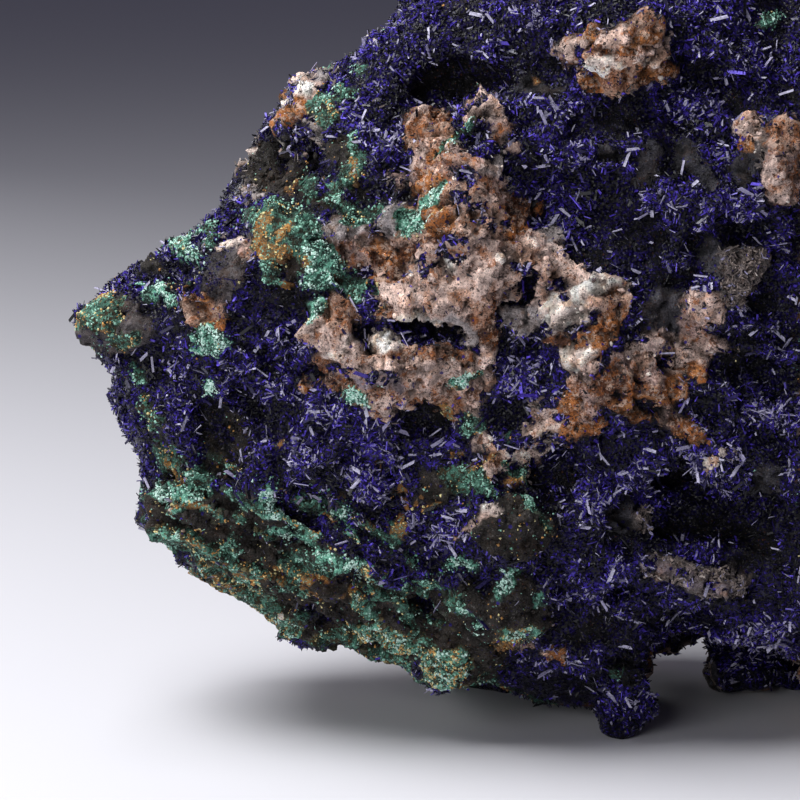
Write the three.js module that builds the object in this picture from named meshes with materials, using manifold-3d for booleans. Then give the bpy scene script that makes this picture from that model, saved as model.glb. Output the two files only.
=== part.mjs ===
// Azurite with malachite on a quartz and limonite matrix: one large hand specimen, in millimetres, +Z up.
// Its best face, the azurite druse, looks along -Y. It stands on four worn feet in the plane Z = 0.
// The rock is one solid: a rounded block with a traced outline, raised masses, hollows and ledges,
// with its feet, knobs and largest azurite blades grown into it.
import * as THREE from "three";
import { mergeVertices } from "three/addons/utils/BufferGeometryUtils.js";
import { ImprovedNoise } from "three/addons/math/ImprovedNoise.js";
import Module from "manifold-3d";

const wasm = await Module();
wasm.setup();

const { degToRad, lerp, smoothstep } = THREE.MathUtils;

// Driving dimensions.
const MM_PER_PIXEL = 0.2; // on the specimen's middle plane, Y = 0
const LOOK_DOWN = degToRad(10); // how far the photograph's view tilts down
const EYE_PIXEL = new THREE.Vector2(400, 400); // the picture's middle, which shows X = 0
const EYE_HEIGHT = 66; // height of that point above the surface that the specimen stands on
const EYE_DISTANCE = 700; // from that point to the photograph's eye
const FRONT_DEPTH = 40; // from the middle plane to the face's most forward part
const BACK_DEPTH = 55;
const BLOCK_CENTRE = new THREE.Vector2(575, 330); // pixel from which the outline is measured
const BLOCK_SQUARENESS = 2.7; // 2 would be an ellipsoid, more is a squarer block
const BLOCK_DETAIL = 15; // each icosahedron face is cut into this many strips, plus one
const FRONT_SHARE = 0.28; // how strongly the block's facets crowd towards the face

// The silhouette, clockwise from the left tip, in pixels of the photograph.
// Beyond the photograph's right and top edges it is completed by guess.
const OUTLINE = [
  [76, 322],
  [92, 302],
  [106, 290],
  [128, 268],
  [148, 257],
  [163, 267],
  [176, 240],
  [199, 229],
  [222, 208],
  [232, 186],
  [247, 154],
  [266, 119],
  [284, 99],
  [294, 78],
  [316, 72],
  [347, 62],
  [372, 36],
  [389, 28],
  [397, 8],
  [430, -4],
  [480, -22],
  [545, -36],
  [610, -38],
  [680, -46],
  [760, -40],
  [830, -14],
  [880, 6],
  [915, 52],
  [958, 88],
  [974, 150],
  [998, 220],
  [1004, 310],
  [1012, 400],
  [992, 470],
  [985, 550],
  [950, 615],
  [925, 668],
  [870, 676],
  [800, 652],
  [740, 640],
  [716, 632],
  [690, 626],
  [662, 630],
  [651, 682],
  [602, 706],
  [556, 704],
  [515, 692],
  [493, 684],
  [460, 684],
  [430, 675],
  [414, 655],
  [398, 659],
  [370, 655],
  [347, 645],
  [314, 646],
  [288, 638],
  [270, 612],
  [229, 590],
  [178, 555],
  [143, 522],
  [138, 508],
  [143, 486],
  [146, 462],
  [130, 438],
  [119, 420],
  [112, 386],
  [112, 358],
  [92, 346],
];

// What stands out of the face or is sunk into it: pixel of its middle, half sizes in pixels,
// turn in degrees clockwise, and height in millimetres.
const RAISED_MASSES = [
  { name: "upper arm of the quartz", at: [462, 170], size: [46, 70], turn: 0, height: 5 },
  { name: "middle of the quartz", at: [470, 270], size: [92, 62], turn: -20, height: 6 },
  { name: "lower left of the quartz", at: [388, 352], size: [82, 46], turn: 10, height: 5 },
  { name: "right wing of the quartz", at: [592, 318], size: [60, 44], turn: -15, height: 6 },
  { name: "limonite below the right wing", at: [640, 390], size: [66, 42], turn: 15, height: 5 },
  { name: "rounded quartz at the upper right", at: [623, 54], size: [58, 42], turn: -15, height: 9 },
  { name: "quartz near the right edge", at: [770, 160], size: [34, 50], turn: 0, height: 6 },
  { name: "tan lump", at: [716, 280], size: [50, 30], turn: -30, height: 6 },
  { name: "upper left malachite", at: [300, 252], size: [56, 58], turn: 20, height: 6 },
  { name: "grey rock beside it", at: [226, 268], size: [30, 36], turn: 0, height: 5 },
  { name: "malachite ball", at: [211, 341], size: [20, 18], turn: 0, height: 4 },
  { name: "left knob", at: [108, 324], size: [34, 28], turn: 0, height: 5 },
  { name: "dark boulder", at: [508, 522], size: [46, 40], turn: 0, height: 6 },
  { name: "dark boulder's foot", at: [500, 606], size: [54, 36], turn: -10, height: 5 },
  { name: "taupe ridge", at: [694, 578], size: [66, 24], turn: 14, height: 7 },
  { name: "malachite lump at the lower edge", at: [446, 662], size: [38, 26], turn: 0, height: 5 },
  { name: "left end of the ledges", at: [178, 506], size: [44, 26], turn: 20, height: 4 },
  { name: "upper shoulder", at: [560, 20], size: [60, 30], turn: 0, height: 4 },
  { name: "druse below the left knob", at: [170, 420], size: [40, 26], turn: 30, height: 3 },
  { name: "druse right of the middle", at: [690, 200], size: [60, 40], turn: 0, height: 3 },
  { name: "boulder past the right edge", at: [880, 330], size: [70, 90], turn: 10, height: 8 },
  { name: "lump past the lower right", at: [880, 560], size: [60, 50], turn: 0, height: 6 },
];
const HOLLOWS = [
  { name: "upper vug", at: [455, 82], size: [50, 26], turn: -10, height: -8 },
  { name: "vug near the upper left edge", at: [250, 160], size: [28, 22], turn: 20, height: -8 },
  { name: "large vug at the lower right", at: [712, 514], size: [80, 28], turn: 5, height: -14 },
  { name: "cleft in the quartz", at: [520, 300], size: [34, 14], turn: -55, height: -5 },
  { name: "slot in the quartz", at: [425, 335], size: [38, 13], turn: 12, height: -6 },
  { name: "black recess", at: [222, 440], size: [30, 34], turn: 20, height: -6 },
  { name: "recess at the right", at: [765, 392], size: [26, 32], turn: 0, height: -5 },
  { name: "recess under the quartz", at: [545, 470], size: [46, 22], turn: 0, height: -6 },
  { name: "recess left of the quartz", at: [285, 345], size: [30, 22], turn: 0, height: -4 },
  { name: "shade above the foot", at: [592, 618], size: [50, 26], turn: -20, height: -6 },
  { name: "round pit", at: [420, 608], size: [13, 13], turn: 0, height: -5 },
  { name: "gap above the longest ledge", at: [318, 512], size: [36, 12], turn: 20, height: -5 },
  { name: "recess right of the quartz arm", at: [552, 215], size: [46, 40], turn: 30, height: -5 },
  { name: "recess at the upper right", at: [706, 92], size: [40, 32], turn: 0, height: -5 },
  { name: "vug past the right edge", at: [905, 210], size: [50, 30], turn: 40, height: -8 },
];
const FLAT_SHARE = 0.45; // of a feature's half size that is level on top
const SLOPE_END = 1.3; // half sizes from its middle to where it ends

// Ledges of the lower left, which run down to the right.
const LEDGES = {
  at: [290, 560],
  size: [210, 120],
  slope: degToRad(27),
  spacing: 24, // pixels from one ledge to the next
  height: 2.6,
  wander: 9, // pixels that a ledge strays from a straight line
  wanderLength: 16,
  wanderOffset: 3,
  fade: [0.6, 1.1], // half sizes from their middle between which they end
};

// Flat breaks where the block came off the vein: the side they face, and how far they are from its centre.
const BREAKS = [
  { name: "back", normal: [0.1, 1, 0.15], reach: 42 },
  { name: "back at the left", normal: [-0.55, 0.8, 0.2], reach: 55 },
  { name: "back at the right", normal: [0.6, 0.75, -0.15], reach: 56 },
  { name: "back of the top", normal: [0.1, 0.6, 0.85], reach: 58 },
  { name: "back of the underside", normal: [-0.15, 0.75, -0.65], reach: 62 },
  { name: "upper right", normal: [0.85, -0.2, 0.5], reach: 80 },
  { name: "lower right", normal: [0.9, 0.1, -0.35], reach: 84 },
];
const BREAK_SHARE = 0.85; // of what stands past a break's plane that is gone

// The block's roughness: ridged crags behind, and finer bumps all over, fewer along the traced outline.
const CRAGS = { wavelength: 27, height: 3, sharpness: 4, share: 0.4, offset: 2 };
const BUMPS = [
  { wavelength: 17, height: 3, offset: 0 },
  { wavelength: 9.5, height: 2.4, offset: 5 },
  { wavelength: 5.2, height: 1.4, offset: 9 },
];
const OUTLINE_BUMPS = 0.2; // share of the bumps on the outline itself
const OUTLINE_BAND = 0.4; // how far from the outline the bumps are whole, with 1 at the face's middle
const RELIEF_BAND = 0.35; // and how far from it the face's relief is

// Masses grown into the block: middle and half sizes, in millimetres from below the picture's middle.
const KNOBS = [
  { name: "front foot", at: [44.3, -11.5, 14.6], size: [6.7, 9.5, 19], detail: 2 },
  { name: "lower right lump", at: [80, 31, 8.5], size: [13.5, 14, 12.5], detail: 3 },
  { name: "left end of that lump", at: [71, 21, 7.5], size: [8.5, 9, 9], detail: 2 },
  { name: "neck of that lump", at: [92, 18, 26], size: [17, 17, 20], detail: 2 },
  { name: "back foot at the left", at: [18, 29, 16], size: [15, 17, 21], detail: 2 },
  { name: "mass behind the arch", at: [55, 37, 24], size: [20, 13, 21], detail: 2 },
  { name: "right foot", at: [97, 2, 17], size: [15, 19, 26], detail: 2 },
  { name: "dark knob on the top edge", at: [2, 2, 143], size: [4.5, 5, 5], detail: 2 },
  { name: "quartz knob on the upper left edge", at: [-18.8, -1, 126.6], size: [3.6, 4.5, 4], detail: 2 },
  { name: "small knob on the left edge", at: [-49.6, -2, 91.8], size: [4, 5, 3.4], detail: 2 },
];

// Flat faces that make the masses above angular: how many, and how near to a mass's middle, in half sizes.
const CHIPS = { count: 12, reach: [0.74, 0.92] };
const GOLDEN_ANGLE = degToRad(137.5);

// How a mass swells and narrows: wavelength in half sizes, and height as a share of its size.
const SWELLS = [
  { wavelength: 1, height: 0.3, offset: 4 },
  { wavelength: 0.5, height: 0.2, offset: 6 },
];

// Sprays of azurite blades large enough to tell apart from a step away.
const SPRAYS = {
  count: 14,
  blades: 5,
  radius: 2.6, // how far from a spray's middle its blades stand
  length: [2.4, 3.8],
  width: [1.4, 2.2],
  thickness: [0.8, 1.1],
  root: 3, // how deep a blade stands in the rock
  lean: 1.3, // how far it may lean away from the surface's normal
  unevenness: 0.6, // how far its direction strays from the others'
  lowest: 14, // height above which sprays grow
  backShare: 0.3, // how many of the places behind the middle plane carry one
  seed: 12,
};

const noise = new ImprovedNoise();

// Noise of one wavelength, in millimetres, as a number from about -1 to 1.
function roughness(point, wavelength, offset = 0) {
  const p = point.clone().divideScalar(wavelength);
  return noise.noise(p.x + offset, p.y + offset, p.z + offset);
}

// The same numbers on every run.
function randomNumbers(seed) {
  let state = seed;
  return () => {
    state = (Math.imul(state, 1664525) + 1013904223) >>> 0;
    return state / 2 ** 32;
  };
}

// The photograph's eye.
const eye = new THREE.Vector3(0, -Math.cos(LOOK_DOWN), Math.sin(LOOK_DOWN)).multiplyScalar(EYE_DISTANCE);
eye.z += EYE_HEIGHT;

// The point of the middle plane that a pixel shows, as X and Z.
function fromPhoto([px, py]) {
  const right = (px - EYE_PIXEL.x) * MM_PER_PIXEL;
  const up = (EYE_PIXEL.y - py) * MM_PER_PIXEL;
  const rise = (up * EYE_DISTANCE) / (EYE_DISTANCE * Math.cos(LOOK_DOWN) + up * Math.sin(LOOK_DOWN));
  const nearer = (rise * Math.sin(LOOK_DOWN)) / EYE_DISTANCE;
  return new THREE.Vector2(right * (1 - nearer), EYE_HEIGHT + rise);
}

// The pixel that shows a point.
function toPhoto(point) {
  const rise = point.z - EYE_HEIGHT;
  const up = point.y * Math.sin(LOOK_DOWN) + rise * Math.cos(LOOK_DOWN);
  const distance = EYE_DISTANCE + point.y * Math.cos(LOOK_DOWN) - rise * Math.sin(LOOK_DOWN);
  const scale = EYE_DISTANCE / distance / MM_PER_PIXEL;
  return [EYE_PIXEL.x + point.x * scale, EYE_PIXEL.y - up * scale];
}

// How far a pixel is from a feature's middle, in half sizes.
function distanceFrom([px, py], { at, size, turn = 0 }) {
  const angle = degToRad(turn);
  const dx = px - at[0];
  const dy = py - at[1];
  const along = (dx * Math.cos(angle) + dy * Math.sin(angle)) / size[0];
  const across = (dy * Math.cos(angle) - dx * Math.sin(angle)) / size[1];
  return Math.hypot(along, across);
}

// How much of a feature's height a pixel has.
function shareOf(pixel, feature) {
  return 1 - smoothstep(distanceFrom(pixel, feature), FLAT_SHARE, SLOPE_END);
}

// Steps with a steep lower face, one below the other across the bedding.
function ledgeHeight(pixel, point) {
  const [px, py] = pixel;
  const across = (py - LEDGES.at[1]) * Math.cos(LEDGES.slope) - (px - LEDGES.at[0]) * Math.sin(LEDGES.slope);
  const wander = LEDGES.wander * roughness(point, LEDGES.wanderLength, LEDGES.wanderOffset);
  const phase = (across + wander) / LEDGES.spacing;
  const step = phase - Math.floor(phase);
  const share = 1 - smoothstep(distanceFrom(pixel, LEDGES), ...LEDGES.fade);
  return LEDGES.height * share * (2 * step - 1);
}

// Height of the face's relief at a point, in millimetres.
function faceRelief(point) {
  const pixel = toPhoto(point);
  const features = [...RAISED_MASSES, ...HOLLOWS];
  const sum = features.reduce((total, feature) => total + feature.height * shareOf(pixel, feature), 0);
  return sum + ledgeHeight(pixel, point);
}

// Height of the bumps all over the block.
function bumpHeight(point) {
  return BUMPS.reduce((sum, bump) => sum + bump.height * roughness(point, bump.wavelength, bump.offset), 0);
}

// Distance from the block's centre to the outline, for a direction in the middle plane.
const corners = OUTLINE.map(fromPhoto);
const centre = fromPhoto(BLOCK_CENTRE.toArray());
const blockCentre = new THREE.Vector3(centre.x, 0, centre.y);
function outlineRadius(angle) {
  const ray = new THREE.Vector2(Math.cos(angle), Math.sin(angle));
  let nearest = 0;
  corners.forEach((corner, i) => {
    const a = corner.clone().sub(centre);
    const side = corners[(i + 1) % corners.length].clone().sub(corner);
    const cross = ray.cross(side);
    const reach = a.cross(side) / cross;
    const share = a.cross(ray) / cross;
    if (reach > 0 && share >= 0 && share <= 1) nearest = Math.max(nearest, reach);
  });
  return nearest;
}

// A ball of facets with its shared corners merged.
function facetedBall(detail) {
  const ball = new THREE.IcosahedronGeometry(1, detail);
  ball.deleteAttribute("normal");
  ball.deleteAttribute("uv");
  return mergeVertices(ball, 1e-5);
}

// Moves every corner of a geometry to where shape(corner) puts it.
function reshape(geometry, shape) {
  const position = geometry.getAttribute("position");
  const corner = new THREE.Vector3();
  for (let i = 0; i < position.count; i += 1) {
    corner.copy(shape(corner.fromBufferAttribute(position, i).clone()));
    position.setXYZ(i, corner.x, corner.y, corner.z);
  }
  return geometry;
}

// Moves a point back to the breaks that it stands past.
function brokenOff(point) {
  BREAKS.forEach(({ normal, reach }) => {
    const outward = new THREE.Vector3(...normal).normalize();
    const past = point.clone().sub(blockCentre).dot(outward) - reach;
    if (past > 0) point.addScaledVector(outward, -past * BREAK_SHARE);
  });
}

// The block: the outline at the middle plane, domed to front and back along the eye's rays, with its relief.
function blockPoint(direction) {
  const forward = -direction.y;
  const crowded = (forward + FRONT_SHARE) / (1 + FRONT_SHARE * forward);
  const outward = Math.sqrt(Math.max(0, 1 - crowded ** 2));
  const angle = Math.atan2(direction.z, direction.x);
  const power = 2 / BLOCK_SQUARENESS;
  const reach = outlineRadius(angle) * outward ** power;
  const depth = (crowded > 0 ? -FRONT_DEPTH : BACK_DEPTH) * Math.abs(crowded) ** power;
  const aside = new THREE.Vector3(Math.cos(angle), 0, Math.sin(angle));
  const onPlane = blockCentre.clone().addScaledVector(aside, reach);
  const point = eye.clone().lerp(onPlane, 1 - depth / eye.y);
  brokenOff(point);
  const normal = aside.multiplyScalar(outward).setY(-crowded);
  const bumpShare = lerp(OUTLINE_BUMPS, 1, Math.min(1, Math.abs(crowded) / OUTLINE_BAND));
  const ridge = 1 - CRAGS.sharpness * Math.abs(roughness(point, CRAGS.wavelength, CRAGS.offset));
  const crags = CRAGS.height * ridge;
  const relief = crowded > 0 ? faceRelief(point) : crags;
  const reliefShare = smoothstep(Math.abs(crowded), 0, RELIEF_BAND);
  const height = (bumpHeight(point) + CRAGS.share * crags) * bumpShare + relief * reliefShare;
  return point.addScaledVector(normal, height);
}

// The flat faces of an angular mass: their normals, spread evenly, and their distances in half sizes.
function chippedFaces(seed) {
  const random = randomNumbers(seed);
  return Array.from({ length: CHIPS.count }, (_, i) => {
    const height = 1 - (2 * i + 1) / CHIPS.count;
    const turn = i * GOLDEN_ANGLE + random();
    const normal = new THREE.Vector3().setFromSphericalCoords(1, Math.acos(height), turn);
    return { normal, reach: lerp(...CHIPS.reach, random()) };
  });
}

// An angular, uneven mass.
function knobGeometry({ at, size, detail }, seed) {
  const middle = new THREE.Vector3(...at);
  const halfSize = new THREE.Vector3(...size);
  const faces = chippedFaces(seed);
  const swellAt = (place) => {
    const swell = ({ wavelength, offset }) => roughness(place, halfSize.x * wavelength, offset);
    return SWELLS.reduce((sum, part) => sum + part.height * swell(part), 1);
  };
  return reshape(facetedBall(detail), (direction) => {
    const cuts = faces.map(({ normal, reach }) => {
      const towards = direction.dot(normal);
      return towards > 0 ? reach / towards : Infinity;
    });
    const point = direction.clone().multiply(halfSize);
    const swell = swellAt(point.clone().add(middle));
    return point.multiplyScalar(swell * Math.min(1, ...cuts)).add(middle);
  });
}

// A flat azurite crystal with an uneven chisel end, standing along +Y from its root.
function bladeGeometry(length, width, thickness) {
  const half = width / 2;
  const shoulder = length - 0.6 * width;
  const shape = new THREE.Shape([
    new THREE.Vector2(-half, -SPRAYS.root),
    new THREE.Vector2(half, -SPRAYS.root),
    new THREE.Vector2(half, shoulder),
    new THREE.Vector2(half * 0.2, length),
    new THREE.Vector2(-half, shoulder + 0.2 * width),
  ]);
  const plate = new THREE.ExtrudeGeometry(shape, { depth: thickness, bevelEnabled: false });
  plate.translate(0, 0, -thickness / 2);
  plate.deleteAttribute("normal");
  plate.deleteAttribute("uv");
  return mergeVertices(plate, 1e-5);
}

// A closed geometry as a solid.
function solidOf(geometry) {
  const mesh = new wasm.Mesh({
    numProp: 3,
    vertProperties: new Float32Array(geometry.getAttribute("position").array),
    triVerts: new Uint32Array(geometry.index.array),
  });
  return new wasm.Manifold(mesh);
}

// A solid as a geometry.
function geometryOf(solid) {
  const mesh = solid.getMesh();
  return new THREE.BufferGeometry()
    .setAttribute("position", new THREE.BufferAttribute(mesh.vertProperties, 3))
    .setIndex(new THREE.BufferAttribute(mesh.triVerts, 1));
}

// True where the face shows quartz, malachite or bare ledges in place of azurite.
function isBare(place) {
  const pixel = toPhoto(place);
  const onMass = RAISED_MASSES.some((mass) => shareOf(pixel, mass) > 0.2);
  return place.y < 0 && (onMass || distanceFrom(pixel, LEDGES) < 1);
}

// Sprays of blades on facets picked by chance, where the surface carries azurite.
function azuriteSprays(block) {
  const random = randomNumbers(SPRAYS.seed);
  const between = ([low, high]) => lerp(low, high, random());
  const centred = () => random() - 0.5;
  const scatter = (reach) => new THREE.Vector3(centred(), centred(), centred()).multiplyScalar(reach);
  const position = block.getAttribute("position");
  const upright = new THREE.Vector3(0, 1, 0);
  const blades = [];
  while (blades.length < SPRAYS.count * SPRAYS.blades) {
    const facet = Math.floor((random() * block.index.count) / 3);
    const corner = (k) => new THREE.Vector3().fromBufferAttribute(position, block.index.getX(3 * facet + k));
    const triangle = new THREE.Triangle(corner(0), corner(1), corner(2));
    const middle = triangle.getMidpoint(new THREE.Vector3());
    const normal = triangle.getNormal(new THREE.Vector3());
    const isBehind = middle.y > 0 && random() > SPRAYS.backShare;
    if (isBehind || isBare(middle) || middle.z < SPRAYS.lowest) continue;
    for (let i = 0; i < SPRAYS.blades; i += 1) {
      const aside = scatter(SPRAYS.radius * 2).projectOnPlane(normal);
      const lean = aside.clone().multiplyScalar(SPRAYS.lean / SPRAYS.radius / 2);
      const axis = normal.clone().add(lean).add(scatter(SPRAYS.unevenness)).normalize();
      const blade = bladeGeometry(between(SPRAYS.length), between(SPRAYS.width), between(SPRAYS.thickness));
      const spin = new THREE.Quaternion().setFromAxisAngle(upright, random() * Math.PI);
      blade.applyQuaternion(new THREE.Quaternion().setFromUnitVectors(upright, axis).multiply(spin));
      blade.translate(middle.x + aside.x, middle.y + aside.y, middle.z + aside.z);
      blades.push(blade);
    }
  }
  return blades;
}

// Everything below the surface that the specimen stands on.
function belowTheFeet() {
  const box = new THREE.BoxGeometry(400, 400, 60);
  box.translate(0, 0, -30);
  box.deleteAttribute("normal");
  box.deleteAttribute("uv");
  return mergeVertices(box, 1e-5);
}

const block = reshape(facetedBall(BLOCK_DETAIL), blockPoint);
const knobs = KNOBS.map((knob, i) => knobGeometry(knob, i + 1));
const grown = [block, ...knobs, ...azuriteSprays(block)].map(solidOf);
const specimenSolid = wasm.Manifold.union(grown).subtract(solidOf(belowTheFeet()));

const specimenGeometry = geometryOf(specimenSolid);
specimenGeometry.computeVertexNormals();
specimenGeometry.computeBoundingBox();
const boxCentre = specimenGeometry.boundingBox.getCenter(new THREE.Vector3());

const azuriteBlue = new THREE.MeshStandardMaterial({ color: 0x1c1650, roughness: 0.45, metalness: 0 });
const specimen = new THREE.Mesh(specimenGeometry, azuriteBlue);
specimen.name = "azurite_specimen";
specimen.position.set(-boxCentre.x, -boxCentre.y, 0);

const part = new THREE.Group();
part.add(specimen);

export default part;
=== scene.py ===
# Azurite with malachite: the finish of one large hand specimen.
# Lengths are in millimetres until a mesh is made. Colours are linear red, green and blue.
import itertools
import math

import bmesh
import bpy
import numpy as np
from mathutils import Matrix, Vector


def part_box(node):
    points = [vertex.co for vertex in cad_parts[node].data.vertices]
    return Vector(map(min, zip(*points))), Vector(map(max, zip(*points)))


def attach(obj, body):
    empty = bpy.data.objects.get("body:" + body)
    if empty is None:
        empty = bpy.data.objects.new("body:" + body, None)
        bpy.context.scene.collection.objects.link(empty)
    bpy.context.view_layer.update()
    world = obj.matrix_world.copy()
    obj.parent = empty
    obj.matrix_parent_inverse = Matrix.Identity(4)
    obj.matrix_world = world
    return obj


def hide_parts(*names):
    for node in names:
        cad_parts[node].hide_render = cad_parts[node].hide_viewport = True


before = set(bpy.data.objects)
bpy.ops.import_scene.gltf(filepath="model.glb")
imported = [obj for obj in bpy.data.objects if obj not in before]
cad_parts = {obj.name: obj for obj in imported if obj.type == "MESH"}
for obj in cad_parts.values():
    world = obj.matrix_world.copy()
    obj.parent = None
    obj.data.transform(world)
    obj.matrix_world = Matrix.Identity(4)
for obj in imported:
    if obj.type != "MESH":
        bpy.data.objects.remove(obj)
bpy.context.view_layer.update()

MM = 0.001
NODE = "azurite_specimen"

# The photograph's view, in the values of the part's source.
MM_PER_PIXEL = 0.2
PICTURE = 800
LOOK_DOWN = math.radians(10)
EYE_HEIGHT = 66.0
EYE_DISTANCE = 700.0
SENSOR = 36.0
LEFT_TIP = 64.3  # from the specimen's left tip to the picture's middle
FRONT = 46.8  # from the specimen's foremost point to its middle plane

low_corner = np.array(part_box(NODE)[0]) / MM
TARGET = np.array([low_corner[0] + LEFT_TIP, low_corner[1] + FRONT, EYE_HEIGHT])
TO_EYE = np.array([0.0, -math.cos(LOOK_DOWN), math.sin(LOOK_DOWN)])
CLEARANCE = 0.3  # of crystals and grains above the surface that the specimen stands on

# What covers the rock. Of each kind: its colour, how much azurite and malachite grow on it,
# how high its lumps and its broken faces stand, and how much rusty stain it has.
KINDS = {
    "druse": ((0.004, 0.003, 0.010), 0.8, 0.0, 0.2, 0.0, 0.0),
    "clump": ((0.006, 0.004, 0.02), 1.3, 0.0, 0.2, 0.0, 0.0),
    "thicket": ((0.012, 0.008, 0.05), 2.4, 0.0, 0.2, 0.0, 0.0),
    "gap": ((0.003, 0.003, 0.005), 0.35, 0.0, 0.3, 0.4, 0.0),
    # The hollow kind's near-black colour is painted shade for the hollows' depth.
    "hollow": ((0.003, 0.003, 0.004), 0.22, 0.0, 0.2, 0.3, 0.0),
    "white": ((0.96, 0.81, 0.74), 0.0, 0.0, 0.1, 0.9, 0.05),
    "cream": ((0.70, 0.53, 0.47), 0.02, 0.0, 0.2, 1.0, 0.35),
    "peach": ((0.44, 0.27, 0.20), 0.04, 0.0, 0.3, 0.9, 0.5),
    "pink": ((0.36, 0.25, 0.225), 0.03, 0.0, 0.3, 0.9, 0.45),
    "grey": ((0.40, 0.36, 0.36), 0.0, 0.0, 0.1, 1.0, 0.1),
    "orange": ((0.42, 0.18, 0.065), 0.02, 0.02, 0.5, 0.7, 0.6),
    "brown": ((0.10, 0.048, 0.032), 0.05, 0.0, 0.6, 0.6, 0.5),
    "speckled": ((0.46, 0.34, 0.30), 0.3, 0.0, 0.2, 0.7, 0.4),
    "dusted": ((0.27, 0.23, 0.26), 0.35, 0.0, 0.4, 0.5, 0.2),
    "slate": ((0.050, 0.049, 0.058), 0.06, 0.0, 0.1, 1.0, 0.0),
    "ash": ((0.078, 0.070, 0.074), 0.08, 0.02, 0.5, 0.5, 0.05),
    "charcoal": ((0.030, 0.027, 0.024), 0.06, 0.14, 0.7, 0.5, 0.05),
    "taupe": ((0.165, 0.14, 0.135), 0.05, 0.0, 0.6, 0.6, 0.1),
    "malachite": ((0.06, 0.115, 0.075), 0.0, 1.0, 0.3, 0.1, 0.18),
    "mint": ((0.18, 0.40, 0.32), 0.0, 1.2, 0.3, 0.1, 0.05),
    "olive": ((0.075, 0.08, 0.045), 0.0, 0.7, 0.4, 0.1, 0.3),
    "straw": ((0.34, 0.31, 0.14), 0.0, 1.0, 0.5, 0.1, 0.2),
    "ochre": ((0.40, 0.20, 0.06), 0.0, 0.4, 0.4, 0.2, 0.3),
}

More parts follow.
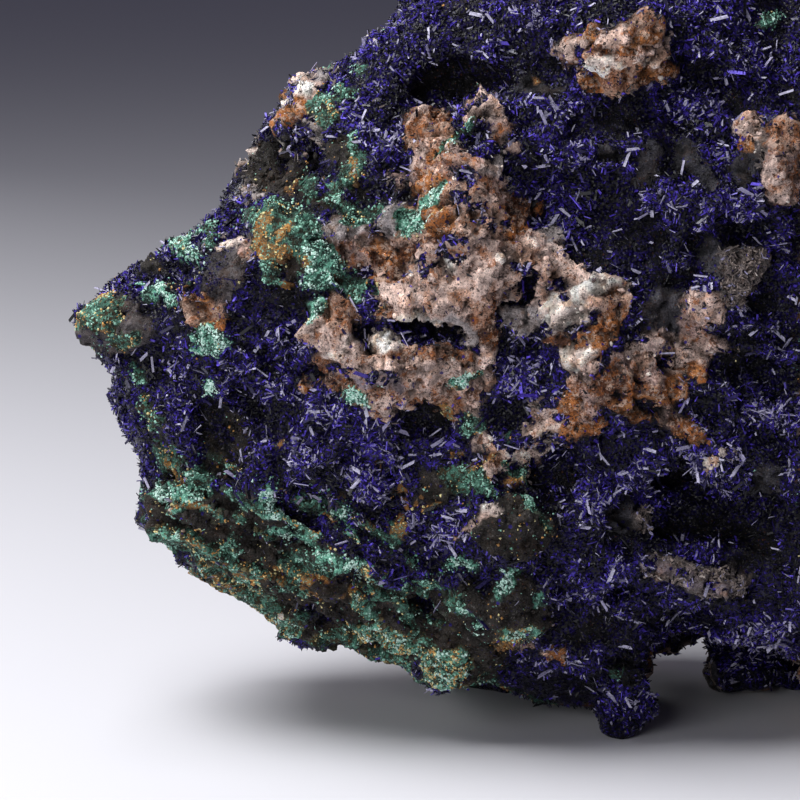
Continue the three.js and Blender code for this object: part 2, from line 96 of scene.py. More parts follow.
# Where each kind shows on the face: each patch overlies the ones before it. Of each patch: its middle and
# half sizes in pixels, its turn in degrees clockwise, and how far it stands out in millimetres.
PATCHES = [
    # Where the azurite stands thick, and where it leaves the dark rock bare.
    ("clump", (520, 28, 46, 30, 0, 0.8), (548, 96, 50, 14, -5, 0.8), (606, 96, 24, 12, -20, 0.8),
     (586, 176, 30, 36, -15, 1.2), (634, 196, 20, 26, 0, 1), (572, 138, 12, 14, 0, 0.8),
     (700, 108, 24, 42, -15, 1), (682, 236, 30, 30, -20, 1.6), (712, 202, 16, 12, 0, 1),
     (750, 208, 26, 20, 0, 1), (776, 236, 30, 26, 0, 0.8), (580, 230, 12, 16, 0, 0.8),
     (745, 60, 34, 22, 0, 0.8), (706, 40, 22, 16, 0, 0.8), (730, 318, 34, 16, -20, 1),
     (765, 396, 42, 60, 0, 1.4), (735, 470, 52, 26, 15, 1.4), (712, 408, 20, 14, 0, 0.8),
     (640, 482, 24, 14, 0, 1), (576, 586, 38, 26, 0, 1.2), (624, 578, 18, 20, 0, 1),
     (640, 610, 34, 14, 0, 0.8), (586, 512, 26, 12, -10, 0.8), (755, 655, 60, 40, -10, 0.8),
     (350, 460, 60, 34, 10, 1), (300, 400, 50, 26, 20, 1), (240, 378, 24, 16, 20, 0.8),
     (430, 530, 40, 22, 10, 0.8), (400, 60, 34, 30, 0, 0.8), (370, 194, 20, 14, 0, 0.4),
     (300, 330, 26, 22, 0, 0.4)),
    ("gap", (515, 120, 22, 13, -10, -1.2), (606, 124, 40, 16, -5, -1.2), (560, 66, 18, 14, 20, -1),
     (486, 78, 20, 14, 0, -1), (696, 68, 12, 10, 0, -0.8), (744, 98, 26, 16, 0, -1.2),
     (785, 96, 20, 18, 0, -1), (640, 250, 26, 28, 10, -1.8), (588, 256, 18, 14, 0, -1),
     (662, 282, 46, 12, -12, -1.6), (706, 250, 16, 14, 0, -1.2), (764, 284, 18, 30, 10, -1.4),
     (714, 364, 26, 20, 0, -1.8), (750, 336, 22, 12, 0, -1.2), (785, 342, 16, 12, 0, -1),
     (678, 470, 16, 16, 20, -1.4), (622, 452, 26, 18, 0, -1), (556, 474, 22, 16, 10, -1.4),
     (620, 546, 22, 12, 0, -1), (590, 632, 32, 12, -15, -1.2), (632, 664, 20, 28, 0, -0.8),
     (760, 585, 40, 34, 10, -1.6), (712, 610, 16, 12, 0, -1), (296, 300, 44, 26, 10, -1),
     (262, 296, 20, 22, 0, -1), (250, 150, 24, 18, 0, -0.6)),
    ("thicket", (752, 654, 40, 28, -10, 0.8), (740, 468, 28, 15, 15, 1.4), (384, 140, 22, 16, 0, 0.6)),
    ("clump", (377, 135, 24, 17, 0, 0.6)),
    # Dark rock, and places where the azurite stands sparse.
    ("slate", (650, 163, 15, 22, 15, 0.8), (612, 152, 18, 13, 0, 0.5), (690, 155, 12, 20, -20, 0.5),
     (640, 177, 12, 9, -20, 0.5), (541, 86, 24, 14, 0, 0.3), (710, 178, 14, 12, 10, 0.4),
     (765, 480, 18, 17, 0, 0.5), (668, 313, 30, 20, -10, 1.2), (742, 168, 12, 17, 0, 1),
     (722, 262, 22, 20, -30, 1), (625, 520, 16, 20, 0, 0), (709, 672, 8, 24, 0, 0.4)),
    ("charcoal", (150, 263, 10, 9, 0, 2), (220, 445, 26, 36, 10, -2), (270, 565, 150, 50, 27, 0),
     (180, 515, 46, 34, 20, 0.5), (380, 625, 110, 42, 5, 0), (510, 527, 44, 32, 0, 1.5),
     (437, 490, 24, 20, 0, 0.5), (505, 610, 52, 38, -10, 1), (482, 660, 28, 28, 0, 0.5)),
    ("ash", (222, 274, 26, 32, 0, 0.5)),
    ("gap", (167, 272, 9, 12, 0, -3)),
    # Quartz: the arm.
    ("pink", (446, 172, 38, 44, -10, 1.4), (515, 152, 10, 7, 20, 0.8), (400, 178, 6, 10, 0, 0.8)),
    ("brown", (428, 118, 24, 14, 0, 1.2), (455, 196, 12, 8, 0, 0.6)),
    ("orange", (424, 130, 18, 12, 0, 1.6)),
    ("peach", (440, 140, 20, 16, -15, 1.8), (430, 128, 12, 8, 0, 2), (413, 140, 7, 12, 25, 1.6)),
    ("brown", (437, 121, 5, 7, 30, 0.6)),
    ("cream", (446, 152, 13, 12, -35, 1.8), (433, 144, 12, 6, -20, 2.2), (418, 116, 7, 6, 0, 1.6),
     (484, 113, 19, 14, -10, 2)),
    ("gap", (470, 147, 11, 11, 20, -1)),
    ("orange", (441, 158, 7, 9, 0, 1.6)),
    ("cream", (424, 168, 13, 9, 0, 1.6)),
    ("orange", (428, 186, 16, 10, -30, 1.2)),
    ("pink", (497, 133, 10, 13, 0, 1.5)),
    ("grey", (491, 165, 11, 17, 15, 1.2)),
    ("pink", (487, 193, 20, 14, 0, 1)),
    # Quartz: the middle.
    ("peach", (455, 235, 62, 44, 5, 1)),
    ("cream", (462, 275, 100, 36, 6, 1.2)),
    ("pink", (357, 250, 24, 22, -20, 1.5)),
    ("grey", (347, 222, 24, 14, 0, 0.8), (396, 222, 16, 13, -20, 1.6)),
    ("brown", (425, 262, 40, 24, 0, 0)),
    ("orange", (386, 252, 14, 14, 20, 0.4), (437, 222, 26, 18, 0, 0.8), (392, 288, 14, 12, 30, 0.8)),
    ("cream", (480, 226, 20, 30, 0, 1.2), (470, 258, 26, 17, 0, 1.4)),
    ("brown", (382, 256, 8, 10, 20, 0), (520, 208, 20, 15, 0, 0.8)),
    ("orange", (520, 232, 20, 13, 20, 0.8)),
    ("cream", (534, 250, 28, 18, 0, 1.2)),
    ("grey", (552, 240, 13, 20, -20, 1.6)),
    ("white", (450, 268, 10, 9, 0, 1.8)),
    ("cream", (562, 271, 26, 13, 15, 1.8), (432, 297, 58, 22, 5, 1.6)),
    ("white", (424, 322, 26, 13, 10, 2)),
    ("grey", (466, 327, 26, 22, 0, 1.6)),
    ("cream", (492, 287, 24, 20, -30, 1.4)),
    ("brown", (490, 352, 11, 28, 10, 0)),
    # Quartz: the lower left.
    ("peach", (402, 378, 100, 34, 5, 1)),
    ("cream", (322, 332, 22, 15, 0, 1.5)),
    ("white", (338, 344, 17, 17, 0, 1.8), (388, 340, 14, 14, -30, 2)),
    ("brown", (338, 376, 30, 13, 10, 0.6)),
    ("peach", (430, 358, 40, 12, 8, 1.4)),
    ("cream", (362, 362, 24, 14, 20, 1.2), (417, 370, 46, 12, 8, 1.6), (425, 391, 30, 12, 0, 1.4),
     (388, 408, 22, 9, -10, 1.2), (484, 372, 12, 26, 25, 1.6), (472, 402, 15, 24, -10, 1.2)),
    ("dusted", (376, 381, 28, 10, 15, 1)),
    # Quartz: the right wing, and the limonite round it.
    ("cream", (592, 297, 42, 17, -15, 1.6)),
    ("white", (560, 314, 24, 19, -10, 2.2), (594, 290, 28, 9, -10, 2)),
    ("grey", (521, 322, 17, 16, 20, 1.6)),
    ("peach", (610, 308, 17, 18, 0, 1.4)),
    ("orange", (598, 338, 30, 17, -35, 1.2)),
    ("brown", (566, 345, 24, 9, 10, 0.4)),
    ("orange", (578, 388, 24, 34, 0, 1.2)),
    ("cream", (582, 368, 20, 17, -30, 1.8)),
    ("white", (582, 356, 22, 7, -20, 2), (541, 409, 18, 9, 0, 1)),
    ("cream", (547, 430, 22, 11, -20, 1)),
    ("white", (552, 434, 11, 7, -30, 1.2)),
    ("pink", (592, 402, 14, 26, 0, 1.4)),
    ("brown", (632, 388, 36, 26, 10, 0.8)),
    ("orange", (585, 428, 24, 12, -10, 1), (640, 411, 26, 13, 20, 0.6), (672, 396, 22, 17, 20, 1.2)),
    ("pink", (630, 362, 22, 14, 0, 1.2), (656, 372, 14, 13, 0, 1.4), (672, 422, 14, 12, 0, 1)),
    ("cream", (645, 350, 16, 15, -20, 1.6), (680, 343, 38, 13, 5, 2), (690, 366, 18, 17, 0, 1.6)),
    ("orange", (697, 378, 9, 12, 0, 0.8), (690, 436, 14, 14, 30, 0.6)),
    ("pink", (690, 322, 15, 22, -20, 1.2)),
    ("cream", (705, 305, 22, 14, 20, 1.6)),
    ("taupe", (735, 290, 26, 16, -40, 1.4), (742, 265, 24, 20, 0, 1.8)),
    # Quartz: the upper right, the right edge and the small knobs.
    ("white", (372, 40, 8, 6, 0, 0.6), (248, 148, 3, 12, 20, 0.3), (226, 243, 18, 4, 0, 0.6)),
    ("cream", (745, 132, 13, 18, 10, 1.4), (306, 88, 17, 17, 0, 1)),
    ("pink", (781, 162, 21, 48, 5, 1.8), (246, 250, 9, 12, 0, 0.8)),
    ("brown", (640, 24, 24, 14, 10, 0.5)),
    ("peach", (628, 50, 44, 26, -20, 2), (206, 312, 22, 20, 0, 1.6)),
    ("orange", (588, 38, 13, 8, -35, 1.6), (590, 84, 17, 15, 0, 2.2), (742, 148, 9, 7, 0, 1.2),
     (202, 298, 18, 9, 10, 1.6), (222, 320, 7, 8, 0, 1.6)),
    ("cream", (616, 37, 22, 13, -25, 2.6), (571, 47, 9, 12, -20, 1.4), (772, 176, 10, 26, 8, 2.2)),
    ("peach", (641, 20, 12, 10, 0, 2.2), (610, 76, 12, 16, 0, 2.2), (630, 76, 13, 16, 10, 1.9),
     (784, 136, 14, 20, 0, 1.8)),
    ("pink", (569, 60, 8, 8, 0, 1)),
    ("white", (600, 63, 20, 7, -10, 2.8), (304, 86, 11, 12, 0, 1.2)),
    ("orange", (638, 40, 24, 6, -20, 2.2), (290, 114, 22, 14, -20, 0.8)),
    ("grey", (325, 77, 10, 9, 0, 0.8), (314, 132, 12, 10, 20, 0.6), (250, 190, 13, 9, 0, 0.6)),
    ("brown", (604, 51, 17, 2.5, -8, 0.4), (620, 74, 2.5, 13, 5, 0.2), (766, 128, 4, 16, 10, 0.4)),
    ("taupe", (632, 84, 8, 8, 0, 1.6), (756, 152, 8, 12, 20, 1.2)),
    ("orange", (658, 70, 19, 15, -25, 2)),
    ("cream", (655, 50, 26, 9, -25, 2.4)),
    ("white", (646, 57, 16, 5, -15, 2.6)),
    ("brown", (643, 72, 2.5, 13, 20, 0.2)),
    # The pale vein and streaks below the quartz.
    ("taupe", (694, 575, 62, 18, 12, 1.5), (644, 518, 12, 16, 10, 0.2)),
    ("dusted", (664, 568, 30, 8, 16, 1.6), (712, 582, 24, 7, 8, 1.6)),
    ("white", (487, 512, 14, 6, 20, 1), (715, 461, 15, 8, -15, 2.4)),
    ("orange", (713, 454, 12, 3, -12, 2.4)),
    ("cream", (522, 456, 34, 7, -12, 1.2), (476, 524, 15, 6, -30, 0.8)),
    ("white", (516, 457, 16, 5, -12, 1.4)),
    ("cream", (488, 450, 14, 7, 20, 0.8), (498, 473, 18, 8, -35, 1)),
    # Malachite: the left knob, the outline and the left side.
    ("mint", (150, 290, 20, 7, 5, 0.6), (186, 247, 15, 15, 0, 1.6), (210, 340, 20, 19, 0, 1.8),
     (211, 391, 7, 9, 0, 0.6)),
    ("ash", (112, 326, 36, 30, 0, 0.6)),
    ("olive", (100, 314, 24, 18, 0, 0.6), (122, 338, 14, 10, 0, 0.6), (148, 414, 7, 26, -35, 0.4),
     (166, 462, 20, 12, -30, 0.6)),
    ("malachite", (94, 308, 10, 7, 15, 0.6), (116, 336, 9, 6, 0, 0.6), (212, 227, 9, 8, 0, 0.5),
     (136, 374, 8, 16, -10, 0.4), (200, 480, 20, 14, 30, 0.8)),
    ("ochre", (84, 316, 5, 7, 0, 0.6), (108, 324, 7, 5, 0, 0.6), (97, 299, 9, 4, -20, 0.6),
     (174, 295, 8, 6, 0, 0.5), (181, 246, 6, 5, 0, 1.6), (174, 472, 4, 16, -25, 0.6)),
    # Malachite: the large patch at the upper left.
    ("malachite", (284, 222, 42, 18, 10, 1), (362, 214, 26, 9, 0, 0.8), (341, 93, 12, 9, 0, 0.6),
     (357, 69, 7, 5, 0, 0.4)),
    ("mint", (322, 262, 24, 34, -15, 1.4), (318, 312, 12, 13, 0, 1)),
    ("olive", (278, 244, 34, 20, 25, 1), (282, 214, 12, 5, 20, 1), (324, 112, 14, 14, 0, 0.6)),
    ("brown", (336, 282, 8, 5, 30, 0.6)),
    ("ochre", (268, 244, 17, 10, 30, 0.8), (293, 250, 12, 9, -20, 0.8), (280, 279, 8, 6, 30, 0.6),
     (260, 228, 8, 15, 15, 1), (288, 230, 15, 6, -35, 1.1), (350, 298, 7, 5, 30, 0.8)),
    ("charcoal", (294, 266, 12, 9, 20, -0.4), (276, 168, 36, 32, -20, 0.2), (322, 198, 28, 9, 10, 0.2),
     (358, 186, 15, 9, 20, -0.5)),
    ("malachite", (270, 268, 6, 14, -30, 0.8), (306, 240, 8, 14, 20, 1), (352, 288, 14, 10, 20, 0.6)),
    ("hollow", (279, 264, 5, 9, 20, -0.8), (297, 160, 25, 20, 0, -1.5)),
    ("charcoal", (338, 150, 13, 18, 10, 0)),
    ("malachite", (344, 170, 24, 9, -40, 1.2), (354, 146, 8, 17, -10, 1), (331, 188, 10, 15, -30, 0.8),
     (346, 206, 17, 7, 10, 0.8)),
    ("ochre", (312, 262, 5, 8, 20, 1.2), (351, 161, 6, 8, 0, 1.2), (296, 189, 16, 3, -24, 0.6)),
    ("malachite", (308, 186, 4, 14, 15, 0.4)),
    # Malachite: streaks on the quartz.
    ("malachite", (460, 139, 26, 4, -52, 0.8), (474, 428, 16, 8, 45, 0.6), (514, 443, 7, 5, 0, 0.6),
     (522, 474, 16, 8, 10, 0.4), (478, 484, 20, 9, 15, 0.6), (533, 505, 13, 5, 35, 0.4)),
    ("mint", (426, 204, 24, 6, -38, 0.8), (412, 226, 8, 12, 20, 0.8), (465, 384, 18, 6, -4, 0.8),
     (355, 396, 18, 6, 25, 0.6)),
    ("olive", (456, 474, 18, 10, 0, 0.4), (458, 492, 12, 12, 0, 0.4), (542, 525, 4, 16, -15, 0.4)),
    # Malachite: the crests of the ledges at the lower left.
    ("ash", (252, 490, 9, 8, 0, 0.8)),
    ("malachite", (240, 502, 15, 3, 15, 0.8), (308, 566, 26, 9, 14, 1.2), (230, 549, 15, 9, 10, 1),
     (414, 566, 15, 5, 30, 0.8), (512, 571, 10, 6, 0, 0.6), (488, 681, 16, 5, -10, 0.5),
     (386, 542, 18, 8, 20, 0.6), (389, 524, 8, 8, 0, 0.6), (766, 22, 13, 7, 0, 0.6),
     (615, 676, 5, 9, 0, 0.4)),
    ("mint", (170, 494, 34, 5, 8, 1), (192, 508, 32, 6, 24, 1.2), (272, 497, 9, 19, -25, 0.8),
     (330, 514, 36, 5, 28, 1.2), (290, 535, 22, 4, 26, 1.4), (346, 562, 44, 5, 27, 1.6),
     (462, 568, 15, 7, 0, 0.8), (500, 582, 8, 12, 0, 0.6), (541, 602, 7, 10, 0, 0.6)),
    ("ochre", (190, 507, 26, 4, 24, 1.4), (280, 566, 9, 4, 0, 1.2), (312, 576, 14, 4, 15, 1.2),
     (350, 588, 12, 5, 38, 1), (506, 646, 16, 5, 0, 0.8)),
    ("cream", (532, 650, 12, 6, 20, 0.8)),
    ("orange", (322, 616, 9, 6, 30, 0.8), (556, 656, 13, 10, 20, 0.6)),
    ("straw", (366, 572, 22, 3, 27, 1.6), (364, 600, 14, 4, 30, 1), (519, 632, 20, 8, -5, 0.8)),
    ("malachite", (386, 596, 20, 4, -15, 1), (404, 612, 24, 6, 50, 1.2), (428, 588, 28, 6, 5, 0.8),
     (458, 606, 10, 12, 0, 0.8)),
    ("mint", (474, 622, 14, 6, 30, 0.8)),
    ("olive", (190, 546, 30, 4, 30, 0.6), (196, 566, 46, 7, 33, 0.6)),
    ("ochre", (214, 580, 26, 4, 35, 0.8), (200, 548, 14, 2.5, 30, 0.8)),
    ("malachite", (166, 540, 16, 5, 30, 0.6)),
    ("olive", (250, 596, 30, 8, 35, 0.5), (238, 580, 60, 4, 33, 0.8), (222, 556, 50, 3, 31, 0.8)),
    ("straw", (256, 587, 22, 2.5, 33, 0.8), (287, 627, 13, 14, 0, 0.8)),
    ("olive", (330, 641, 40, 6, 0, 0.8)),
    ("straw", (370, 632, 26, 12, 5, 0.8), (402, 644, 20, 11, 10, 0.8), (444, 667, 27, 21, 10, 1.2)),
    ("olive", (384, 655, 16, 5, 0, 0.5)),
    # Bright ochre spots.
    ("brown", (440, 418, 20, 9, 10, 0), (302, 375, 10, 10, 0, 0)),
    ("ochre", (397, 526, 9, 17, -10, 0.8), (402, 490, 4, 13, -10, 0.5), (381, 461, 12, 5, 25, 0.5),
     (446, 417, 10, 5, 30, 0.3), (422, 503, 16, 4, -15, 0.5), (281, 445, 8, 4, -10, 0.4),
     (487, 468, 16, 4, -25, 0.5), (521, 486, 12, 4, -15, 0.5), (460, 452, 7, 6, 0, 0.5),
     (544, 75, 6, 3, -30, 0.3), (174, 296, 7, 5, 0, 0.4)),
    # Hollows, sunk into the rock, their depth painted near black as shade.
    ("gap", (655, 412, 17, 7, 10, -1), (668, 353, 4, 10, -20, -1)),
    ("slate", (665, 368, 7, 8, 0, 0.2)),
    ("hollow", (455, 82, 46, 17, -5, -3.5), (292, 160, 26, 22, 10, -3), (527, 290, 24, 9, -55, -3.5),
     (428, 332, 36, 9, 12, -3.5), (362, 330, 13, 24, 0, -3), (214, 430, 16, 26, 0, -2.5),
     (300, 518, 20, 9, 10, -2.5), (162, 478, 13, 7, 0, -2), (394, 158, 17, 8, 0, -1.5),
     (706, 520, 56, 15, 5, -4), (764, 540, 22, 16, 60, -3), (553, 472, 24, 13, 10, -3),
     (424, 608, 11, 12, 0, -3), (268, 302, 26, 20, 0, -2), (430, 428, 28, 13, 10, -2),
     (738, 364, 28, 22, 10, -2.5), (481, 120, 4, 4, 0, -2.5), (310, 377, 8, 6, 0, -1.5),
     (350, 580, 24, 6, 25, -2), (262, 536, 30, 6, 25, -1.5), (320, 618, 26, 10, 10, -1.5),
     (590, 628, 30, 12, -20, -1.5), (325, 235, 10, 4, 0, -1.5), (272, 306, 26, 15, 10, -2),
     (620, 399, 9, 4, 0, -1.2), (640, 384, 10, 3, 20, -1.2), (603, 413, 6, 4, -30, -1.2),
     (299, 377, 13, 8, 35, -1.5)),
    ("orange", (374, 280, 8, 10, 20, 1), (305, 387, 11, 3, 40, 0.5)),
    ("malachite", (379, 296, 4, 14, -25, 1)),
    ("druse", (368, 318, 14, 14, 30, -1.2)),
    ("hollow", (378, 300, 7, 9, 0, -1)),
    # Azurite grown back over the quartz and into its hollows.
    ("speckled", (458, 248, 20, 13, -30, 0.8), (497, 226, 15, 17, 0, 0.8), (428, 266, 20, 14, 20, 0.6),
     (470, 205, 12, 22, 0, 0.8), (520, 270, 16, 10, 0, 0.8), (346, 372, 22, 6, 0, 0.8)),
    ("druse", (535, 372, 34, 28, 10, -0.5), (515, 408, 20, 22, 0, -0.5), (462, 178, 12, 8, 0, -0.5),
     (470, 145, 12, 9, 0, -0.8)),
    ("peach", (342, 316, 18, 20, 0, 1), (487, 316, 13, 16, 0, 1.2)),
    ("cream", (532, 390, 10, 8, 0, 0.8), (541, 411, 16, 9, 0, 1), (322, 336, 22, 14, 20, 1.2)),
    ("brown", (386, 311, 13, 9, 0, 0.6), (491, 336, 9, 14, 10, 0.6)),
    ("hollow", (366, 333, 15, 19, 0, -3.5), (506, 306, 3.5, 12, 45, -2)),
    ("clump", (520, 372, 22, 26, 10, 0.2)),
    ("white", (382, 340, 12, 12, 30, 1.5)),
    ("grey", (524, 320, 15, 14, 0, 1.2)),
]
EDGE_WANDER = [(6.0, 8.0, 11), (2.2, 5.0, 13), (0.9, 2.5, 15)]  # wavelength in mm, reach in pixels, seed
GRAZING_REACH = 50  # in pixels
GRAZING_WAVELENGTH = 16  # in millimetres
EDGE = (0.9, 1.07)  # in half sizes, from where a patch is whole to where it ends

# The ledges at the lower left of the face, which run down to the right. In pixels, except their height.
LEDGE_PLACE = (290, 562)
LEDGE_HALF_SIZE = (175, 82)
LEDGE_TURN = math.radians(26)  # clockwise
LEDGE_SPACING = 19
LEDGE_HEIGHT = 1.9
LEDGE_WANDER = [(11, 9, 61), (4, 4, 62)]  # wavelength in mm, reach, seed

# Large odd numbers that spread the bits of a hash.
CORNER_FACTORS = np.array([374761393, 668265263, 1440662683])
SEED_FACTOR = 974634777
MIX_FACTORS = {13: 1274126177, 15: 668265263}  # by how many bits the number is shifted before each
LOW_BITS = 0xFFFFFFFF


def unit(vectors):
    return vectors / np.maximum(np.linalg.norm(vectors, axis=-1, keepdims=True), 1e-12)


def smoothstep(value, start, end):
    share = np.clip((value - start) / (end - start), 0, 1)
    return share * share * (3 - 2 * share)


def hashed(corners, seed):
    """A repeatable number from 0 to 1 for each whole-numbered corner."""
    mixed = (corners @ CORNER_FACTORS + seed * SEED_FACTOR) & LOW_BITS
    for shift, factor in MIX_FACTORS.items():
        mixed = ((mixed ^ (mixed >> shift)) * factor) & LOW_BITS
    return (mixed ^ (mixed >> 16)) / 2.0**32


def noise(points, wavelength, seed=0):
    """Smooth noise from about -1 to 1."""
    places = points / wavelength
    cells = np.floor(places).astype(np.int64)
    share = places - cells
    share = share**3 * (share * (share * 6 - 15) + 10)
    total = np.zeros(len(points))
    for corner in itertools.product((0, 1), repeat=3):
        weight = np.prod(np.where(corner, share, 1 - share), axis=1)
        total += weight * hashed(cells + corner, seed)
    return 2 * total - 1


def fractal(points, wavelength, octaves=3, seed=0):
    """Noise with finer noise on it, each octave half as long and half as strong."""
    layers = [noise(points, wavelength / 2**i, seed + i) / 2**i for i in range(octaves)]
    return sum(layers) / sum(0.5**i for i in range(octaves))


def nearest_seeds(points, size, seed=0):
    """Seeds scattered one to a cell: distances to the nearest two, and the nearest one's way and cell."""
    places = points / size
    cells = np.floor(places).astype(np.int64)
    first = np.full(len(points), 9.0)
    second = np.full(len(points), 9.0)
    way = np.zeros_like(points)
    owner = cells.copy()
    for offset in itertools.product((-1, 0, 1), repeat=3):
        cell = cells + offset
        spot = cell + np.stack([hashed(cell, seed + k) for k in range(3)], axis=1)
        to_spot = spot - places
        distance = np.sqrt((to_spot**2).sum(axis=1))
        closer = distance < first
        second = np.where(closer, first, np.minimum(second, distance))
        first = np.where(closer, distance, first)
        way[closer] = to_spot[closer]
        owner[closer] = cell[closer]
    return first, second, way, owner


def broken_faces(points, size, seed):
    """Heights from about -1 to 1 of flat pieces, each with its own slope, that meet at edges and steps."""
    _, _, way, owner = nearest_seeds(points, size, seed)
    slope = np.stack([hashed(owner, seed + 3 + k) for k in range(3)], axis=1) - 0.5
    return 2.4 * (slope * way).sum(axis=1) + (hashed(owner, seed + 6) - 0.5)


def curls(points):
    """The malachite's winding crests: 1 on them, and 0 in the hollows between."""
    return 1 - smoothstep(np.abs(noise(points, 2.4, 66)), 0.0, 0.4)


def clumping(points):
    """How thick the azurite stands of itself: 0 in its gaps, and 1 in its clumps."""
    return smoothstep(fractal(points, 7.0, 4, 21) + 0.35 * noise(points, 1.8, 25), -0.16, 0.32)


def azurite_growth(points, cover):
    """How much azurite grows at each point. On pale rock it keeps to small spots."""
    spots = 2.2 * smoothstep(noise(points, 1.9, 27) + 0.6 * noise(points, 0.8, 28), 0.15, 0.35)
    free = 0.3 + 0.7 * clumping(points)
    return cover.azurite * np.where(cover.colour[:, 0] > 0.07, spots, free)


def photo_pixels(points):
    """The pixels that show the points."""
    from_target = points - TARGET
    up = from_target[:, 1] * math.sin(LOOK_DOWN) + from_target[:, 2] * math.cos(LOOK_DOWN)
    depth = EYE_DISTANCE + from_target[:, 1] * math.cos(LOOK_DOWN) - from_target[:, 2] * math.sin(LOOK_DOWN)
    scale = EYE_DISTANCE / depth / MM_PER_PIXEL
    return PICTURE / 2 + from_target[:, 0] * scale, PICTURE / 2 - up * scale


def turned(x, y, middle, angle):
    """Pixels measured along and across a line through a middle."""
    along = (x - middle[0]) * math.cos(angle) + (y - middle[1]) * math.sin(angle)
    across = (y - middle[1]) * math.cos(angle) - (x - middle[0]) * math.sin(angle)
    return along, across


class Cover:
    """What covers each point: the values of its kind, and how far it stands out in millimetres."""

    def __init__(self, count):
        self.values = np.tile(self.kind_values("druse", 0.0), (count, 1))

    @staticmethod
    def kind_values(kind, lift):
        colour, *others = KINDS[kind]
        return np.array([*colour, *others, lift], dtype=float)

    def lay(self, kind, share, lift=0.0):
        """Lays one kind over the others, with the share that each point has of it."""
        self.values += (self.kind_values(kind, lift) - self.values) * share[:, None]

    def mix(self, other, share):
        """Goes over to another cover."""
        self.values += (other.values - self.values) * share[:, None]

    def at(self, corners):
        """The cover in the middle of each group of points."""
        found = Cover(0)
        found.values = self.values[corners].mean(axis=1)
        return found

    colour = property(lambda self: self.values[:, :3])
    azurite = property(lambda self: self.values[:, 3])
    malachite = property(lambda self: self.values[:, 4])
    lumps = property(lambda self: self.values[:, 5])
    faces = property(lambda self: self.values[:, 6])
    stain = property(lambda self: self.values[:, 7])
    lift = property(lambda self: self.values[:, 8])


def ledge_steps(points):
    """How much each point is one of the ledges' own, and its place on its step, from 0 at the top to 1."""
    along, across = turned(*photo_pixels(points), LEDGE_PLACE, LEDGE_TURN)
    share = 1 - smoothstep(np.hypot(along / LEDGE_HALF_SIZE[0], across / LEDGE_HALF_SIZE[1]), 0.8, 1.1)
    for wavelength, reach, seed in LEDGE_WANDER:
        across = across + reach * noise(points, wavelength, seed)
    phase = across / LEDGE_SPACING
    return share * (points[:, 1] < TARGET[1]), phase - np.floor(phase)


def face_cover(points, grazing):
    """The cover that the photograph shows. Where it only grazes the surface, patches wander further."""
    x, y = photo_pixels(points)
    x = x + GRAZING_REACH * grazing * fractal(points, GRAZING_WAVELENGTH, 2, 17)
    y = y + GRAZING_REACH * grazing * fractal(points, GRAZING_WAVELENGTH, 2, 18)
    for wavelength, reach, seed in EDGE_WANDER:
        x = x + reach * noise(points, wavelength, seed)
        y = y + reach * noise(points, wavelength, seed + 1)
    cover = Cover(len(points))
    for kind, *patches in PATCHES:
        for px, py, half_width, half_height, turn, lift in patches:
            along, across = turned(x, y, (px, py), math.radians(turn))
            cover.lay(kind, 1 - smoothstep(np.hypot(along / half_width, across / half_height), *EDGE), lift)
    ledge, step = ledge_steps(points)
    crest = ledge * smoothstep(step, 0.0, 0.1) * (1 - smoothstep(step, 0.3, 0.42))
    crest = crest * smoothstep(noise(points, 6, 63) + 0.6 * noise(points, 2, 64), 0.1, 0.3)
    cover.lay("malachite", crest, 0.8)
    cover.lay("straw", crest * smoothstep(noise(points, 4, 67), -0.05, 0.2), 0.8)
    cover.lay("ochre", crest * smoothstep(noise(points, 3.5, 65), 0.45, 0.6), 0.8)
    return cover


def wild_cover(points, normals):
    """The cover where the photograph doesn't show it: the same kinds, spread by noise."""
    cover = Cover(len(points))
    bands = fractal(points * (1, 1, 1.8), 22, 3, 31)
    quartz = fractal(points, 40, 3, 32)
    green = fractal(points, 30, 3, 33)
    tone = fractal(points, 9, 3, 34)
    fine = fractal(points, 4.5, 2, 35)
    rock = smoothstep(quartz, 0.16, 0.22)
    cover.lay("charcoal", smoothstep(bands, 0.12, 0.2), 0.3)
    cover.lay("charcoal", smoothstep(-normals[:, 2], 0.4, 0.75), 0.3)
    cover.lay("slate", smoothstep(noise(points, 13, 36), 0.55, 0.62), 0.5)
    # Scattered hollows sink in and take the near-black colour of painted shade.
    cover.lay("hollow", smoothstep(noise(points, 12, 37), 0.62, 0.72), -2.5)
    cover.lay("cream", rock, 1.4)
    cover.lay("peach", rock * smoothstep(tone, -0.05, 0.05), 1.2)
    cover.lay("pink", rock * smoothstep(tone, 0.1, 0.18), 1.2)
    cover.lay("orange", rock * smoothstep(tone, 0.2, 0.28), 1.0)
    cover.lay("grey", rock * smoothstep(-tone, 0.12, 0.18), 1.4)
    cover.lay("white", rock * smoothstep(-tone, 0.3, 0.36), 1.8)
    cover.lay("dusted", rock * smoothstep(fine, 0.3, 0.42), 0.8)
    cover.lay("malachite", smoothstep(green + 0.25 * tone, 0.24, 0.3), 0.9)
    cover.lay("olive", smoothstep(green + 0.25 * tone, 0.36, 0.42), 1.0)
    cover.lay("ochre", smoothstep(green + 0.8 * fine, 0.5, 0.58), 0.8)
    cover.lay("brown", smoothstep(quartz, 0.12, 0.15) * (1 - smoothstep(quartz, 0.17, 0.2)), 0.4)
    return cover


def cover_of(points, normals):
    """The photograph's cover where the picture shows the point, and the wild one elsewhere."""
    x, y = photo_pixels(points)
    inside = smoothstep(np.minimum(PICTURE - x, y), -12, 8)
    towards = normals @ TO_EYE
    front = 1 - smoothstep(points[:, 1], TARGET[1] - 12, TARGET[1] + 6)
    facing = np.maximum(smoothstep(towards, 0, 0.25), smoothstep(towards, -0.6, -0.3) * front)
    cover = wild_cover(points, normals)
    cover.mix(face_cover(points, 1 - smoothstep(towards, 0.0, 0.4)), inside * facing)
    return cover


